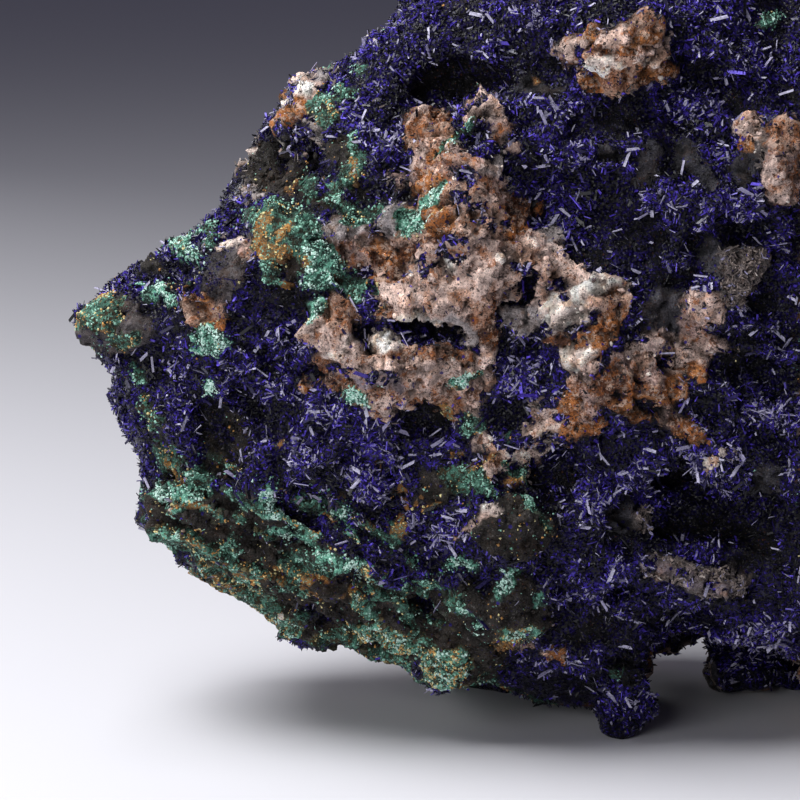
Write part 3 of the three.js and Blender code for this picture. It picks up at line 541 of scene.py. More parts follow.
def mesh_arrays(mesh):
    """Corners in millimetres, triangles, and the corners' normals."""
    corners = np.empty(len(mesh.vertices) * 3, np.float32)
    mesh.vertices.foreach_get("co", corners)
    normals = np.empty(len(mesh.vertices) * 3, np.float32)
    mesh.vertex_normals.foreach_get("vector", normals)
    mesh.calc_loop_triangles()
    triangles = np.empty(len(mesh.loop_triangles) * 3, np.int32)
    mesh.loop_triangles.foreach_get("vertices", triangles)
    corners = corners.reshape(-1, 3).astype(float) / MM
    return corners, triangles.reshape(-1, 3), normals.reshape(-1, 3).astype(float)


def place_corners(mesh, corners):
    mesh.vertices.foreach_set("co", (corners * MM).astype(np.float32).ravel())
    mesh.update()


def paint_corners(mesh, colours, **shares):
    """Stores the corners' colours, and shares such as stain, for the materials."""
    attribute = mesh.color_attributes.new("tone", "FLOAT_COLOR", "POINT")
    rgba = np.ones((len(colours), 4), np.float32)
    rgba[:, :3] = np.clip(colours, 0.001, 0.9)
    attribute.data.foreach_set("color", rgba.ravel())
    for name, share in shares.items():
        attribute = mesh.attributes.new(name, "FLOAT", "POINT")
        attribute.data.foreach_set("value", share.astype(np.float32))


def finish_piece(piece, material):
    if piece.name not in bpy.context.scene.collection.objects:
        bpy.context.scene.collection.objects.link(piece)
    piece.data.materials.clear()
    piece.data.materials.append(material)
    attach(piece, "root")
    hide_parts(NODE)


def new_piece(name, corners, faces, material, slot, colours, **shares):
    """A piece of the specimen from arrays. All its faces have the same number of corners."""
    mesh = bpy.data.meshes.new(name)
    sides = faces.shape[1]
    mesh.vertices.add(len(corners))
    mesh.loops.add(faces.size)
    mesh.polygons.add(len(faces))
    mesh.loops.foreach_set("vertex_index", faces.astype(np.int32).ravel())
    mesh.polygons.foreach_set("loop_start", np.arange(0, faces.size, sides, dtype=np.int32))
    place_corners(mesh, corners)
    mesh.update(calc_edges=True)
    mesh.validate()
    paint_corners(mesh, colours, **shares)
    piece = bpy.data.objects.new(name, mesh)
    finish_piece(piece, material)


class Paint:
    """Builds the nodes of one material."""

    def __init__(self, name):
        self.material = bpy.data.materials.new(name)
        self.material.use_nodes = True
        self.tree = self.material.node_tree
        self.shader = self.tree.nodes["Principled BSDF"]
        self.place = self.node("TexCoord").outputs["Object"]

    def fill(self, node, inputs):
        for key, value in inputs.items():
            if isinstance(value, bpy.types.NodeSocket):
                self.tree.links.new(value, node.inputs[key])
            else:
                node.inputs[key].default_value = value

    def node(self, kind, inputs=None, **settings):
        made = self.tree.nodes.new("ShaderNode" + kind)
        for key, value in settings.items():
            setattr(made, key, value)
        self.fill(made, inputs or {})
        return made

    def attribute(self, name, output="Fac"):
        return self.node("Attribute", attribute_name=name).outputs[output]

    def noise(self, size, detail=3.0, roughness=0.55):
        """Noise from 0 to 1 with features of about a size in millimetres."""
        inputs = {"Vector": self.place, "Scale": 1 / (size * MM), "Detail": detail, "Roughness": roughness}
        return self.node("TexNoise", inputs).outputs["Fac"]

    def cells(self, size):
        """Cells of about a size in millimetres: the distance from their seeds, and their colours."""
        return self.node("TexVoronoi", {"Vector": self.place, "Scale": 1 / (size * MM)}).outputs

    def shares(self, colour):
        """The red, green and blue of a colour, as numbers of their own."""
        return self.node("SeparateColor", {"Color": colour}).outputs

    def ramp(self, value, start, end, low=0.0, high=1.0):
        inputs = {"Value": value, "From Min": start, "From Max": end, "To Min": low, "To Max": high}
        return self.node("MapRange", inputs).outputs["Result"]

    def math(self, operation, first, second):
        return self.node("Math", {0: first, 1: second}, operation=operation).outputs["Value"]

    def scale(self, colour, factor):
        return self.node("VectorMath", {0: colour, "Scale": factor}, operation="SCALE").outputs["Vector"]

    def vector(self, operation, first, second):
        return self.node("VectorMath", {0: first, 1: second}, operation=operation).outputs["Vector"]

    def mix(self, share, first, second):
        first, second = ((*c, 1) if isinstance(c, tuple) else c for c in (first, second))
        inputs = {"Factor": share, "A": first, "B": second}
        return self.node("Mix", inputs, data_type="RGBA").outputs["Result"]

    def bump(self, height, distance):
        inputs = {"Height": height, "Distance": distance * MM}
        return self.node("Bump", inputs).outputs["Normal"]

    def lean(self, cells, amount):
        """A slope of its own for each cell."""
        return self.scale(self.vector("SUBTRACT", cells["Color"], (0.5, 0.5, 0.5)), amount)

    def leaning(self, normal, lean):
        return self.vector("NORMALIZE", self.vector("ADD", lean, normal), (0, 0, 0))

    def finish(self, **inputs):
        self.fill(self.shader, {name.replace("_", " "): value for name, value in inputs.items()})
        return self.material


# The rock's texture: sizes of its noise, sizes of its cells, and colours.
FINE, GRAIN, MOTTLE, BLOTCH = 0.4, 1.0, 2.4, 5
PALE_SPOT, CRUST, PIT, FLECK, FILM_GAP = 3, 1.7, 1.1, 0.6, 1.0
SPECK, DOT, CHIP, PLATE = 0.38, 1.0, 1.5, 3.4
RUST = (0.40, 0.13, 0.032)
OCHRE = (0.36, 0.18, 0.05)
DARK_RUST = (0.085, 0.032, 0.018)
CRUMBS = (0.60, 0.43, 0.34)
PITS = (0.020, 0.014, 0.013)
FLECKS = (0.16, 0.15, 0.145)
BLUE_DOTS = (0.03, 0.02, 0.20)
DRUSE_TONES = ((0.003, 0.0025, 0.006), (0.012, 0.008, 0.06), (0.055, 0.035, 0.34))
GREEN_TONES = ((0.007, 0.013, 0.011), (0.065, 0.18, 0.13), (0.28, 0.50, 0.40))


def rock_material():
    """Mottled quartz and limonite, granular dark rock, malachite film and druse too fine for a mesh, with
    painted shade darkening the relief's recesses.
    """
    paint = Paint("rock")
    tone = paint.attribute("tone", "Color")
    fine, grain = paint.noise(FINE, 3, 0.6), paint.noise(GRAIN, 4, 0.7)
    middling, broad = paint.noise(MOTTLE, 6, 0.75), paint.noise(BLOTCH, 4, 0.65)
    speck, dot, chip, plate = (paint.cells(size) for size in (SPECK, DOT, CHIP, PLATE))
    speck_share, dot_share, plate_share = (paint.shares(cells["Color"]) for cells in (speck, dot, plate))
    stained = paint.attribute("stain")

    warm = paint.vector("MULTIPLY", tone, (1.05, 0.76, 0.55))
    pale = paint.vector("MULTIPLY", tone, (1.24, 1.2, 1.17))
    ground = paint.mix(paint.ramp(broad, 0.48, 0.56, 0, 0.7), tone, warm)
    ground = paint.mix(paint.ramp(paint.noise(PALE_SPOT, 5, 0.7), 0.52, 0.56, 0, 0.8), ground, pale)
    ground = paint.mix(paint.ramp(plate_share["Blue"], 0.6, 0.63, 0, 0.6), ground, pale)
    ground = paint.scale(ground, paint.ramp(plate_share["Green"], 0, 1, 0.74, 1.3))
    ground = paint.scale(ground, paint.ramp(paint.shares(chip["Color"])["Red"], 0, 1, 0.8, 1.2))
    ground = paint.scale(ground, paint.ramp(fine, 0.3, 0.7, 0.5, 1.45))
    stain = paint.math("ADD", middling, paint.ramp(stained, 0, 1, -0.22, 0.2))
    rust = paint.mix(paint.ramp(grain, 0.4, 0.56), DARK_RUST, RUST)
    ground = paint.mix(paint.ramp(stain, 0.47, 0.52, 0, 0.85), ground, rust)
    crumbs = paint.ramp(paint.noise(CRUST, 5, 0.75), 0.52, 0.57)
    crumbs = paint.math("MULTIPLY", crumbs, paint.ramp(stained, 0.3, 0.55, 0, 0.85))
    ground = paint.mix(crumbs, ground, CRUMBS)
    pits = paint.ramp(paint.noise(PIT, 5, 0.7), 0.56, 0.62)
    pits = paint.math("MULTIPLY", pits, paint.ramp(stained, 0, 0.5, 0.4, 1))
    ground = paint.mix(pits, ground, PITS)
    flecks = paint.ramp(paint.noise(FLECK, 2, 0.6), 0.62, 0.65, 0, 0.5)
    ground = paint.mix(flecks, ground, FLECKS)
    specks = paint.math("LESS_THAN", speck["Distance"], paint.ramp(speck_share["Red"], 0.75, 1, 0, 0.5))
    speck_tone = paint.mix(paint.ramp(speck_share["Blue"], 0.45, 0.55), PITS, DARK_RUST)
    ground = paint.mix(paint.math("MULTIPLY", specks, 0.85), ground, speck_tone)
    dots = paint.math("LESS_THAN", dot["Distance"], paint.ramp(dot_share["Red"], 0.82, 1, 0, 0.42))
    dot_tone = paint.mix(paint.ramp(dot_share["Blue"], 0.35, 0.45), PITS, BLUE_DOTS)
    ground = paint.mix(paint.math("MULTIPLY", dots, 0.9), ground, dot_tone)

    green = paint.mix(paint.ramp(middling, 0.43, 0.55), GREEN_TONES[0], GREEN_TONES[1])
    green = paint.mix(paint.ramp(fine, 0.55, 0.68), green, GREEN_TONES[2])
    ochre = paint.math("MULTIPLY", paint.ramp(grain, 0.52, 0.57), paint.ramp(stained, 0.05, 0.3))
    green = paint.mix(ochre, green, OCHRE)
    green = paint.mix(paint.ramp(paint.noise(FILM_GAP, 4, 0.7), 0.5, 0.56, 0, 0.9), green, GREEN_TONES[0])
    light = paint.shares(tone)["Green"]
    green = paint.scale(green, paint.ramp(light, 0.1, 0.34, 1, 2.6))
    malachite = paint.ramp(paint.math("ADD", paint.attribute("malachite"), fine), 0.85, 1.0)
    ground = paint.mix(malachite, ground, green)

    growth = paint.attribute("azurite")
    blue = paint.math("ADD", speck_share["Green"], paint.ramp(growth, 0.1, 1.1, -0.2, 0.3))
    druse = paint.mix(paint.ramp(blue, 0.45, 0.55), DRUSE_TONES[0], DRUSE_TONES[1])
    druse = paint.mix(paint.ramp(blue, 0.84, 0.92), druse, DRUSE_TONES[2])
    azurite = paint.ramp(paint.math("ADD", growth, fine), 0.62, 0.7)
    colour = paint.mix(azurite, ground, druse)
    # Painted shade: the colour darkens to a quarter where the relief sinks in.
    shade = paint.ramp(paint.attribute("sunk"), 0, 1, 1, 0.25)

    grains = paint.math("ADD", paint.math("MULTIPLY", fine, 0.6), paint.math("ADD", grain, middling))
    broken = paint.vector("ADD", paint.lean(chip, 0.6), paint.lean(plate, 0.7))
    broken = paint.leaning(paint.bump(grains, 0.8), broken)
    facets = paint.leaning(paint.node("NewGeometry").outputs["Normal"], paint.lean(speck, 1.5))
    normal = paint.mix(azurite, broken, facets)
    gloss = paint.ramp(azurite, 0, 1, 0.7, 0.3)
    return paint.finish(Base_Color=paint.scale(colour, shade), Roughness=gloss, Normal=normal,
                        IOR=1.5, Specular_IOR_Level=0.18)


def crystal_material(name, roughness, ior, bump_height, bump_size):
    """Crystals or grains, each with the colour of its corners, and fine noise in colour, gloss and height."""
    paint = Paint(name)
    grain = paint.noise(bump_size, 4)
    colour = paint.scale(paint.attribute("tone", "Color"), paint.ramp(grain, 0.3, 0.7, 0.6, 1.35))
    gloss = paint.ramp(grain, 0.3, 0.7, *roughness)
    return paint.finish(Base_Color=colour, Roughness=gloss, Normal=paint.bump(grain, bump_height), IOR=ior)


# The rock's mesh.
VOXEL = 1.28  # edge of the rock's faces
SMOOTHING = 7  # rounds that take the facets off the rock
SMOOTHING_WEIGHTS = (0.55, -0.53)  # towards the neighbours, and back
SMALLEST_ISLAND = 4000  # corners; smaller bodies are crumbs of blades
INSET = 0.8  # how far the rock is drawn in, to leave room for what grows on it
STANDING = (0.5, 5)  # heights above the feet's plane between which the relief sets in

# Sizes of the relief's forms.
LUMP, SMALL_LUMP, MOUND = 3.6, 1.6, 6.5
FACET, SMALL_FACET, CLEFT_SPACING = 6.0, 2.6, 9.0
SWELL, ROUGHNESS = 7.0, 1.6


def remeshed_rock():
    """The solid with even faces, without the crumbs of its blades."""
    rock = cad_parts[NODE].copy()
    rock.data = rock.data.copy()
    rock.name = "rock"
    rock.parent = None
    for key in list(rock.keys()):
        del rock[key]
    bpy.context.scene.collection.objects.link(rock)
    remesh = rock.modifiers.new("even faces", "REMESH")
    remesh.mode = "VOXEL"
    remesh.voxel_size = VOXEL * MM
    evaluated = rock.evaluated_get(bpy.context.evaluated_depsgraph_get())
    mesh = bpy.data.meshes.new_from_object(evaluated)
    rock.modifiers.clear()
    rock.data = mesh
    mesh.name = "rock"
    drop_islands(mesh)
    return rock


def edge_corners(mesh):
    edges = np.empty(len(mesh.edges) * 2, np.int32)
    mesh.edges.foreach_get("vertices", edges)
    return edges.reshape(-1, 2)


def drop_islands(mesh):
    """Deletes the bodies with few corners."""
    edges = edge_corners(mesh)
    label = np.arange(len(mesh.vertices))
    while True:
        lowest = np.minimum(label[edges[:, 0]], label[edges[:, 1]])
        new = label.copy()
        np.minimum.at(new, edges[:, 0], lowest)
        np.minimum.at(new, edges[:, 1], lowest)
        new = new[new]
        if (new == label).all():
            break
        label = new
    sizes = np.bincount(label, minlength=len(label))
    crumbs = np.flatnonzero(sizes[label] < SMALLEST_ISLAND)
    shell = bmesh.new()
    shell.from_mesh(mesh)
    shell.verts.ensure_lookup_table()
    bmesh.ops.delete(shell, geom=[shell.verts[i] for i in crumbs], context="VERTS")
    shell.to_mesh(mesh)
    shell.free()


def smoothed(values, edges, rounds):
    """Moves each corner's values towards its neighbours', and puts back most of the shrinkage."""
    count = np.bincount(edges.ravel(), minlength=len(values))[:, None]
    for weight in SMOOTHING_WEIGHTS * rounds:
        middle = np.zeros_like(values)
        for axis in range(values.shape[1]):
            middle[:, axis] += np.bincount(edges[:, 0], values[edges[:, 1], axis], len(values))
            middle[:, axis] += np.bincount(edges[:, 1], values[edges[:, 0], axis], len(values))
        values = values + weight * (middle / count - values)
    return values


def refine(mesh, wanted):
    """Cuts the faces whose corners are all wanted into four."""
    shell = bmesh.new()
    shell.from_mesh(mesh)
    edges = [edge for edge in shell.edges if wanted[edge.verts[0].index] and wanted[edge.verts[1].index]]
    bmesh.ops.subdivide_edges(shell, edges=edges, cuts=1, use_grid_fill=True)
    shell.to_mesh(mesh)
    shell.free()


def relief(points, cover):
    """How far the fine relief moves the rock out, in millimetres."""
    near, next_near, _, _ = nearest_seeds(points, LUMP, 41)
    crack = 1 - smoothstep(next_near - near, 0.0, 0.14)
    small, _, _, _ = nearest_seeds(points, SMALL_LUMP, 45)
    lumps = 1.5 * (0.6 - near) - 0.7 * crack + 0.7 * (0.6 - small)
    mounds, _, _, _ = nearest_seeds(points, MOUND, 49)
    broken = 1.5 * broken_faces(points, FACET, 141) + 0.9 * broken_faces(points, SMALL_FACET, 151)
    broken = broken - 1.6 * (1 - smoothstep(np.abs(noise(points, CLEFT_SPACING, 161)), 0.0, 0.07))
    druse = 1.2 * (0.6 - mounds) + 2.4 * (clumping(points) - 0.5)
    curled = 0.8 * (curls(points) - 0.5)
    rough = 1.1 * fractal(points, SWELL, 3, 51) + 0.35 * noise(points, ROUGHNESS, 55)
    ledge, step = ledge_steps(points)
    ledge = LEDGE_HEIGHT * ledge * (smoothstep(step, 0, 0.12) * (1 - 0.8 * smoothstep(step, 0.2, 0.95)) - 0.4)
    rough = rough * (1 - 0.4 * cover.faces) + cover.lumps * lumps + cover.faces * broken
    return rough + np.minimum(cover.azurite, 1) * druse + cover.malachite * curled + ledge


def build_rock(material):
    """The rock: the remeshed solid with its relief, its colours and its shares."""
    rock = remeshed_rock()
    mesh = rock.data
    corners, _, normals = mesh_arrays(mesh)
    cover = cover_of(corners, normals)
    x, y = photo_pixels(corners)
    seen = (normals @ TO_EYE > 0.05) & (corners[:, 1] < TARGET[1] + 10) & (x < PICTURE + 5) & (y > -5)
    refine(mesh, seen & (cover.azurite < 0.4))
    corners, _, _ = mesh_arrays(mesh)
    edges = edge_corners(mesh)
    place_corners(mesh, smoothed(corners, edges, SMOOTHING))
    corners, _, normals = mesh_arrays(mesh)
    cover = cover_of(corners, normals)
    fine_height = relief(corners, cover)
    standing = smoothstep(corners[:, 2], *STANDING)
    corners = corners + normals * ((cover.lift + fine_height - INSET) * standing)[:, None]
    corners[:, 2] = np.maximum(corners[:, 2], 0)
    corners = smoothed(corners, edges, 1)
    place_corners(mesh, corners)
    mesh.polygons.foreach_set("use_smooth", np.ones(len(mesh.polygons), bool))
    shade = 1 + 0.3 * noise(corners, 1.3, 71) + 0.25 * noise(corners, 3.5, 72)
    # Painted shade: how far each point sinks in the relief, which darkens the rock's colour.
    sunk = 1 - smoothstep(fine_height, -1.4, -0.1)
    shares = {"azurite": azurite_growth(corners, cover), "malachite": cover.malachite,
              "stain": cover.stain, "sunk": sunk}
    paint_corners(mesh, cover.colour * shade[:, None], **shares)
    finish_piece(rock, material)
    return rock


PICTURE_MARGIN = 10  # by how many pixels the finer crystals go on past the picture's edges
LOWEST_GROWTH = 2.0  # height above the feet's plane at which crystals and grains start


class Surface:
    """The rock's surface, to grow crystals on: its triangles, and of each its area, its cover, whether the
    photograph's view sees it, how broadly it faces the eye, and how much and how vivid azurite it grows."""

    def __init__(self, mesh):
        self.corners, self.triangles, self.normals = mesh_arrays(mesh)
        a, b, c = (self.corners[self.triangles[:, k]] for k in range(3))
        self.area = np.linalg.norm(np.cross(b - a, c - a), axis=1) / 2
        self.cover = cover_of(self.corners, self.normals).at(self.triangles)
        middle = (a + b + c) / 3
        x, y = photo_pixels(middle)
        towards = self.normals[self.triangles].mean(axis=1) @ TO_EYE
        behind = middle[:, 1] - TARGET[1]
        facing = (towards > -0.3) & (behind < 30) | (towards > 0.3) & (behind < 50)
        self.seen = facing & (x < PICTURE + PICTURE_MARGIN) & (y > -PICTURE_MARGIN)
        self.rim = smoothstep(np.abs(towards), 0.05, 0.4)
        self.growth = azurite_growth(middle, self.cover)
        self.vivid = self.growth + 0.5 * smoothstep(self.cover.colour[:, 0], 0.05, 0.15)
        self.raised = middle[:, 2] > LOWEST_GROWTH

    def scatter(self, share, count, random):
        """Points spread over the surface by a share per triangle: places, normals and triangles."""
        weight = self.area * share * self.raised
        picked = random.choice(len(weight), count, p=weight / weight.sum())
        u, v = random.random((2, count))
        over = u + v > 1
        u[over], v[over] = 1 - u[over], 1 - v[over]
        weights = np.stack([1 - u - v, u, v], axis=1)
        places = np.einsum("nk,nkc->nc", weights, self.corners[self.triangles[picked]])
        normals = unit(np.einsum("nk,nkc->nc", weights, self.normals[self.triangles[picked]]))
        return places, normals, picked


def repeated(form, faces, count):
    """The faces of copies of a form."""
    return (faces[None] + (np.arange(count) * len(form))[:, None, None]).reshape(-1, faces.shape[1])


# Crystal forms: corners as shares of the width, thickness and length, and faces with their corners
# anticlockwise from outside. The root is below the surface.
SQUARE = ((-1, -1), (1, -1), (1, 1), (-1, 1))
LATH = np.array([[x, y, z] for z in (-0.25, 1) for x, y in SQUARE]) * (0.5, 0.5, 1)
LATH_FACES = np.array([[3, 2, 1, 0], [4, 5, 6, 7], [0, 1, 5, 4], [1, 2, 6, 5], [2, 3, 7, 6], [3, 0, 4, 7]])
CHISEL_BASE = [[x, y, -0.3] for x, y in SQUARE]
CHISEL = np.array([*CHISEL_BASE, [-0.8, 0, 1], [0.8, 0, 0.85]]) * (0.5, 0.5, 1)
CHISEL_FACES = np.array([[1, 0, 3], [1, 3, 2], [0, 1, 5], [0, 5, 4],
                         [1, 2, 5], [2, 3, 4], [2, 4, 5], [3, 0, 4]])
# A lath whose faces have corners of their own, so that its broad faces can take a pale tone, a painted
# reflection of the light.
BLADE = LATH[LATH_FACES].reshape(-1, 3)
BLADE_FACES = np.arange(len(BLADE)).reshape(LATH_FACES.shape)
BROAD = np.repeat([False, False, True, False, True, False], LATH_FACES.shape[1])
SPRAY_SPACING = 4.5  # between the seeds that crystals fan out from


def grown(form, places, axes, flats, sizes, slant):
    """Copies of a form along their axes, with broad faces towards flats. Sizes: width, thickness, length."""
    thick = unit(flats - axes * (flats * axes).sum(axis=1, keepdims=True))
    wide = np.cross(thick, axes)
    local = form[None] * sizes[:, None, :]
    top = form[:, 2] > 0.8
    local[:, top, 2] += slant[:, None] * sizes[:, None, 0] * np.sign(form[top, 0])
    directions = np.stack([wide, thick, axes], axis=1)
    return places[:, None] + np.einsum("nck,nkd->ncd", local, directions)


def crystal_axes(places, normals, random, tilt):
    """Directions that fan out from seeds on the surface. Tilt: the limits of their angle to its normal."""
    _, _, way, _ = nearest_seeds(places, SPRAY_SPACING, 81)
    outward = -way - normals * (-way * normals).sum(axis=1, keepdims=True)
    aside = unit(outward) + 1.1 * random.normal(size=places.shape)
    aside = unit(aside - normals * (aside * normals).sum(axis=1, keepdims=True))
    angle = random.uniform(*np.radians(tilt), len(places))[:, None]
    return unit(np.cos(angle) * normals + np.sin(angle) * aside)


AZURITE_TONES = {
    "black": (0.002, 0.0018, 0.004),
    "deep": (0.008, 0.005, 0.045),
    "vivid": (0.042, 0.023, 0.275),
    "bright": (0.115, 0.075, 0.61),
    # The pale lavender tone is a painted reflection: it stands for the glint of the light on crystal faces.
    "painted_glint": (0.30, 0.28, 0.43),
    "clay": (0.23, 0.185, 0.165),
    "dark_clay": (0.10, 0.083, 0.078),
}
# Broad faces painted pale, standing for the reflection of the light on them.
PAINTED_GLINT_FACE = (0.50, 0.48, 0.64)
# Shares of the tones in order; the share of the pale tone is a painted reflection.
FINE_TONES = (0.47, 0.29, 0.17, 0.05, 0.02)
BOLD_TONES = (0.42, 0.28, 0.17, 0.06, 0.07)
LARGE_TONES = (0.40, 0.38, 0.06, 0.02, 0.14)
CLAY_TONES = (0.05, 0, 0, 0, 0.05, 0.5, 0.4)
CHISEL_FORM, BLADE_FORM = (CHISEL, CHISEL_FACES), (BLADE, BLADE_FACES)

# Of each piece: form, number of crystals, seed, limits of their length, width and thickness (as a share of
# the width), limits of their tilt in degrees, the share of each tone, and the share whose broad faces are
# painted pale, a painted reflection of the light.
AZURITE_PIECES = {
    "azurite_crystals_face": (
        CHISEL_FORM, 24900, 100, (0.35, 1.0), (0.22, 0.5), (0.3, 0.6), (20, 85), FINE_TONES, 0),
    "azurite_crystals_sides": (
        CHISEL_FORM, 13600, 110, (0.4, 1.1), (0.6, 1.2), (0.4, 0.8), (45, 88), FINE_TONES, 0),
    "azurite_laths": (
        BLADE_FORM, 8500, 120, (0.45, 1.4), (0.18, 0.42), (0.25, 0.5), (35, 88), BOLD_TONES, 0.1),
    "azurite_blades": (
        BLADE_FORM, 1250, 130, (0.9, 3.0), (0.28, 0.75), (0.18, 0.3), (50, 90), LARGE_TONES, 0.4),
    "azurite_blades_sides": (
        BLADE_FORM, 2200, 140, (0.9, 2.2), (0.35, 0.8), (0.2, 0.35), (60, 90), LARGE_TONES, 0.25),
    "dusty_laths": (
        BLADE_FORM, 1500, 150, (0.5, 1.3), (0.2, 0.4), (0.25, 0.5), (40, 88), CLAY_TONES, 0),
}


def azurite_colours(growth, random, shares):
    """One colour for each crystal: the thicker they stand, the more vivid ones there are."""
    draw = np.clip(random.random(len(growth)) + 0.45 * (np.minimum(growth, 1.2) - 0.6), 0, 0.9999)
    picked = np.searchsorted(np.cumsum(shares), draw * sum(shares))
    tones = np.array(list(AZURITE_TONES.values()))
    return tones[picked] * random.uniform(0.7, 1.3, len(growth))[:, None]


def azurite_piece(name, surface, share, form, count, seed, sizes, tilt, tones, pale, material):
    """One piece of azurite crystals. Tones: the share of each tone. Pale: the share whose broad faces are
    painted pale, a painted reflection of the light.
    """
    random = np.random.default_rng(seed)
    places, normals, picked = surface.scatter(share, count, random)
    axes = crystal_axes(places, normals, random, tilt)
    flats = unit(0.7 * normals + random.normal(size=normals.shape))
    length, width, thinness = (random.uniform(*limits, count) for limits in sizes)
    scale = np.stack([width, width * thinness, length], axis=1)
    corners, faces = form
    slant = random.uniform(-0.5, 0.5, count)
    grown_corners = grown(corners, places, axes, flats, scale, slant).reshape(-1, 3)
    grown_corners[:, 2] = np.maximum(grown_corners[:, 2], CLEARANCE)
    colours = azurite_colours(surface.vivid[picked], random, tones)[:, None].repeat(len(corners), axis=1)
    if len(corners) == len(BLADE):
        # Broad faces painted pale stand for the reflection of the light on them.
        glint_faces = (random.random(count) < pale)[:, None] & BROAD
        colours[glint_faces] = np.array(PAINTED_GLINT_FACE) * random.uniform(0.5, 1.2, (glint_faces.sum(), 1))
    faces = repeated(corners, faces, count)
    new_piece(name, grown_corners, faces, material, "azurite", colours.reshape(-1, 3))


def grow_azurite(surface):
    """The druse: fine chisel crystals, laths, and the largest blades. Dusty laths are on the taupe rock."""
    material = crystal_material("azurite", roughness=(0.2, 0.45), ior=1.45, bump_height=0.02, bump_size=0.35)
    seen = surface.growth**1.3 * surface.seen
    hidden = surface.growth**1.3 * ~surface.seen
    dusty = np.linalg.norm(surface.cover.colour - KINDS["taupe"][0], axis=1) < 0.03
    shares = {
        "azurite_crystals_face": seen,
        "azurite_crystals_sides": hidden,
        "azurite_laths": seen * surface.rim,
        "azurite_blades": seen * surface.rim,
        "azurite_blades_sides": hidden * surface.rim,
        "dusty_laths": surface.seen * dusty,
    }
    for name, (form, count, seed, *sizes, tilt, tones, pale) in AZURITE_PIECES.items():
        azurite_piece(name, surface, shares[name], form, count, seed, sizes, tilt, tones, pale, material)


def rough_ball():
    """The corners and faces of a ball of radius 1 with twenty faces."""
    shell = bmesh.new()
    bmesh.ops.create_icosphere(shell, subdivisions=1, radius=1)
    corners = np.array([vertex.co[:] for vertex in shell.verts])
    faces = np.array([[vertex.index for vertex in face.verts] for face in shell.faces])
    shell.free()
    return corners, faces


# A crumb of malachite has eight faces.
CRUMB = np.array([[1, 0, 0], [0, 1, 0], [-1, 0, 0], [0, -1, 0], [0, 0, 1], [0, 0, -1]], dtype=float)
CRUMB_FACES = np.array([[0, 1, 4], [1, 2, 4], [2, 3, 4], [3, 0, 4],
                        [1, 0, 5], [2, 1, 5], [3, 2, 5], [0, 3, 5]])


def lumps_on(surface, form, share, count, radii, skew, depth, random):
    """Uneven lumps on the surface: corners, faces, places and triangles. Skew makes most of them small, and
    depth is how deep they sit, as a share of their radius."""
    corners, faces = form
    places, normals, picked = surface.scatter(share, count, random)
    radius = radii[0] + (radii[1] - radii[0]) * random.random(count) ** skew
    stretch = random.uniform(0.65, 1.3, (count, 1, 3))
    spin = unit(random.normal(size=(count, 3)))
    own = corners[None] - 2 * (corners @ spin.T).T[:, :, None] * spin[:, None]
    own = own * stretch * random.uniform(0.8, 1.15, (count, len(corners), 1)) - depth * normals[:, None]
    grown_corners = (places[:, None] + own * radius[:, None, None]).reshape(-1, 3)
    grown_corners[:, 2] = np.maximum(grown_corners[:, 2], CLEARANCE)
    return grown_corners, repeated(corners, faces[:, ::-1], count), places, picked


MALACHITE_TONES = {
    "dark": (0.012, 0.035, 0.027),
    "green": (0.09, 0.23, 0.165),
    "mint": (0.28, 0.54, 0.43),
    "pale": (0.54, 0.76, 0.67),
    "ochre": (0.46, 0.23, 0.06),
    "straw": (0.66, 0.58, 0.28),
}


def malachite_colours(places, random, ochre, light):
    """One colour for each grain: palest on the crests and darkest in the hollows between, painted light and
    shade over random tones. Ochre grains gather in patches.
    """
    # The crests' share in the draw paints light on the crests and shade in the hollows.
    draw = 0.4 * random.random(len(places)) + 0.5 * curls(places) + 0.25 * noise(places, 1.0, 95)
    green = np.searchsorted((0.3, 0.58, 0.86), draw + light)
    rusty = 0.35 * random.random(len(places)) + 0.29 < ochre + 0.4 * noise(places, 1.5, 96)
    picked = np.where(rusty, 4 + (random.random(len(places)) < 0.5), green)
    tones = np.array(list(MALACHITE_TONES.values()))
    return tones[picked] * random.uniform(0.75, 1.25, len(places))[:, None]


def grow_malachite(surface):
    """The malachite crust: crumbs, closer together on the face."""
    material = crystal_material("malachite", roughness=(0.4, 0.8), ior=1.5, bump_height=0.1, bump_size=0.3)
    colour = surface.cover.colour
    rusty = np.clip((colour[:, 0] / np.maximum(colour[:, 1], 1e-3) - 0.4) * 0.65, 0, 0.9)
    light = smoothstep(colour[:, 1], 0.1, 0.3) * 0.5
    middle = surface.corners[surface.triangles].mean(axis=1)
    weight = surface.cover.malachite**1.5 * (0.2 + 0.8 * curls(middle))
    # Name, number of crumbs, where they grow, limits of their radius, seed.
    pieces = (("malachite_face", 19500, weight * surface.seen, (0.14, 0.4), 200),
              ("malachite_sides", 4600, weight * ~surface.seen, (0.3, 0.8), 201))
    form = (CRUMB, CRUMB_FACES)
    for name, count, share, radii, seed in pieces:
        random = np.random.default_rng(seed)
        lumps = lumps_on(surface, form, share, count, radii, skew=1.5, depth=0.15, random=random)
        corners, faces, places, picked = lumps
        own = malachite_colours(places, random, rusty[picked], light[picked])
        new_piece(name, corners, faces, material, "malachite", np.repeat(own, len(CRUMB), axis=0))


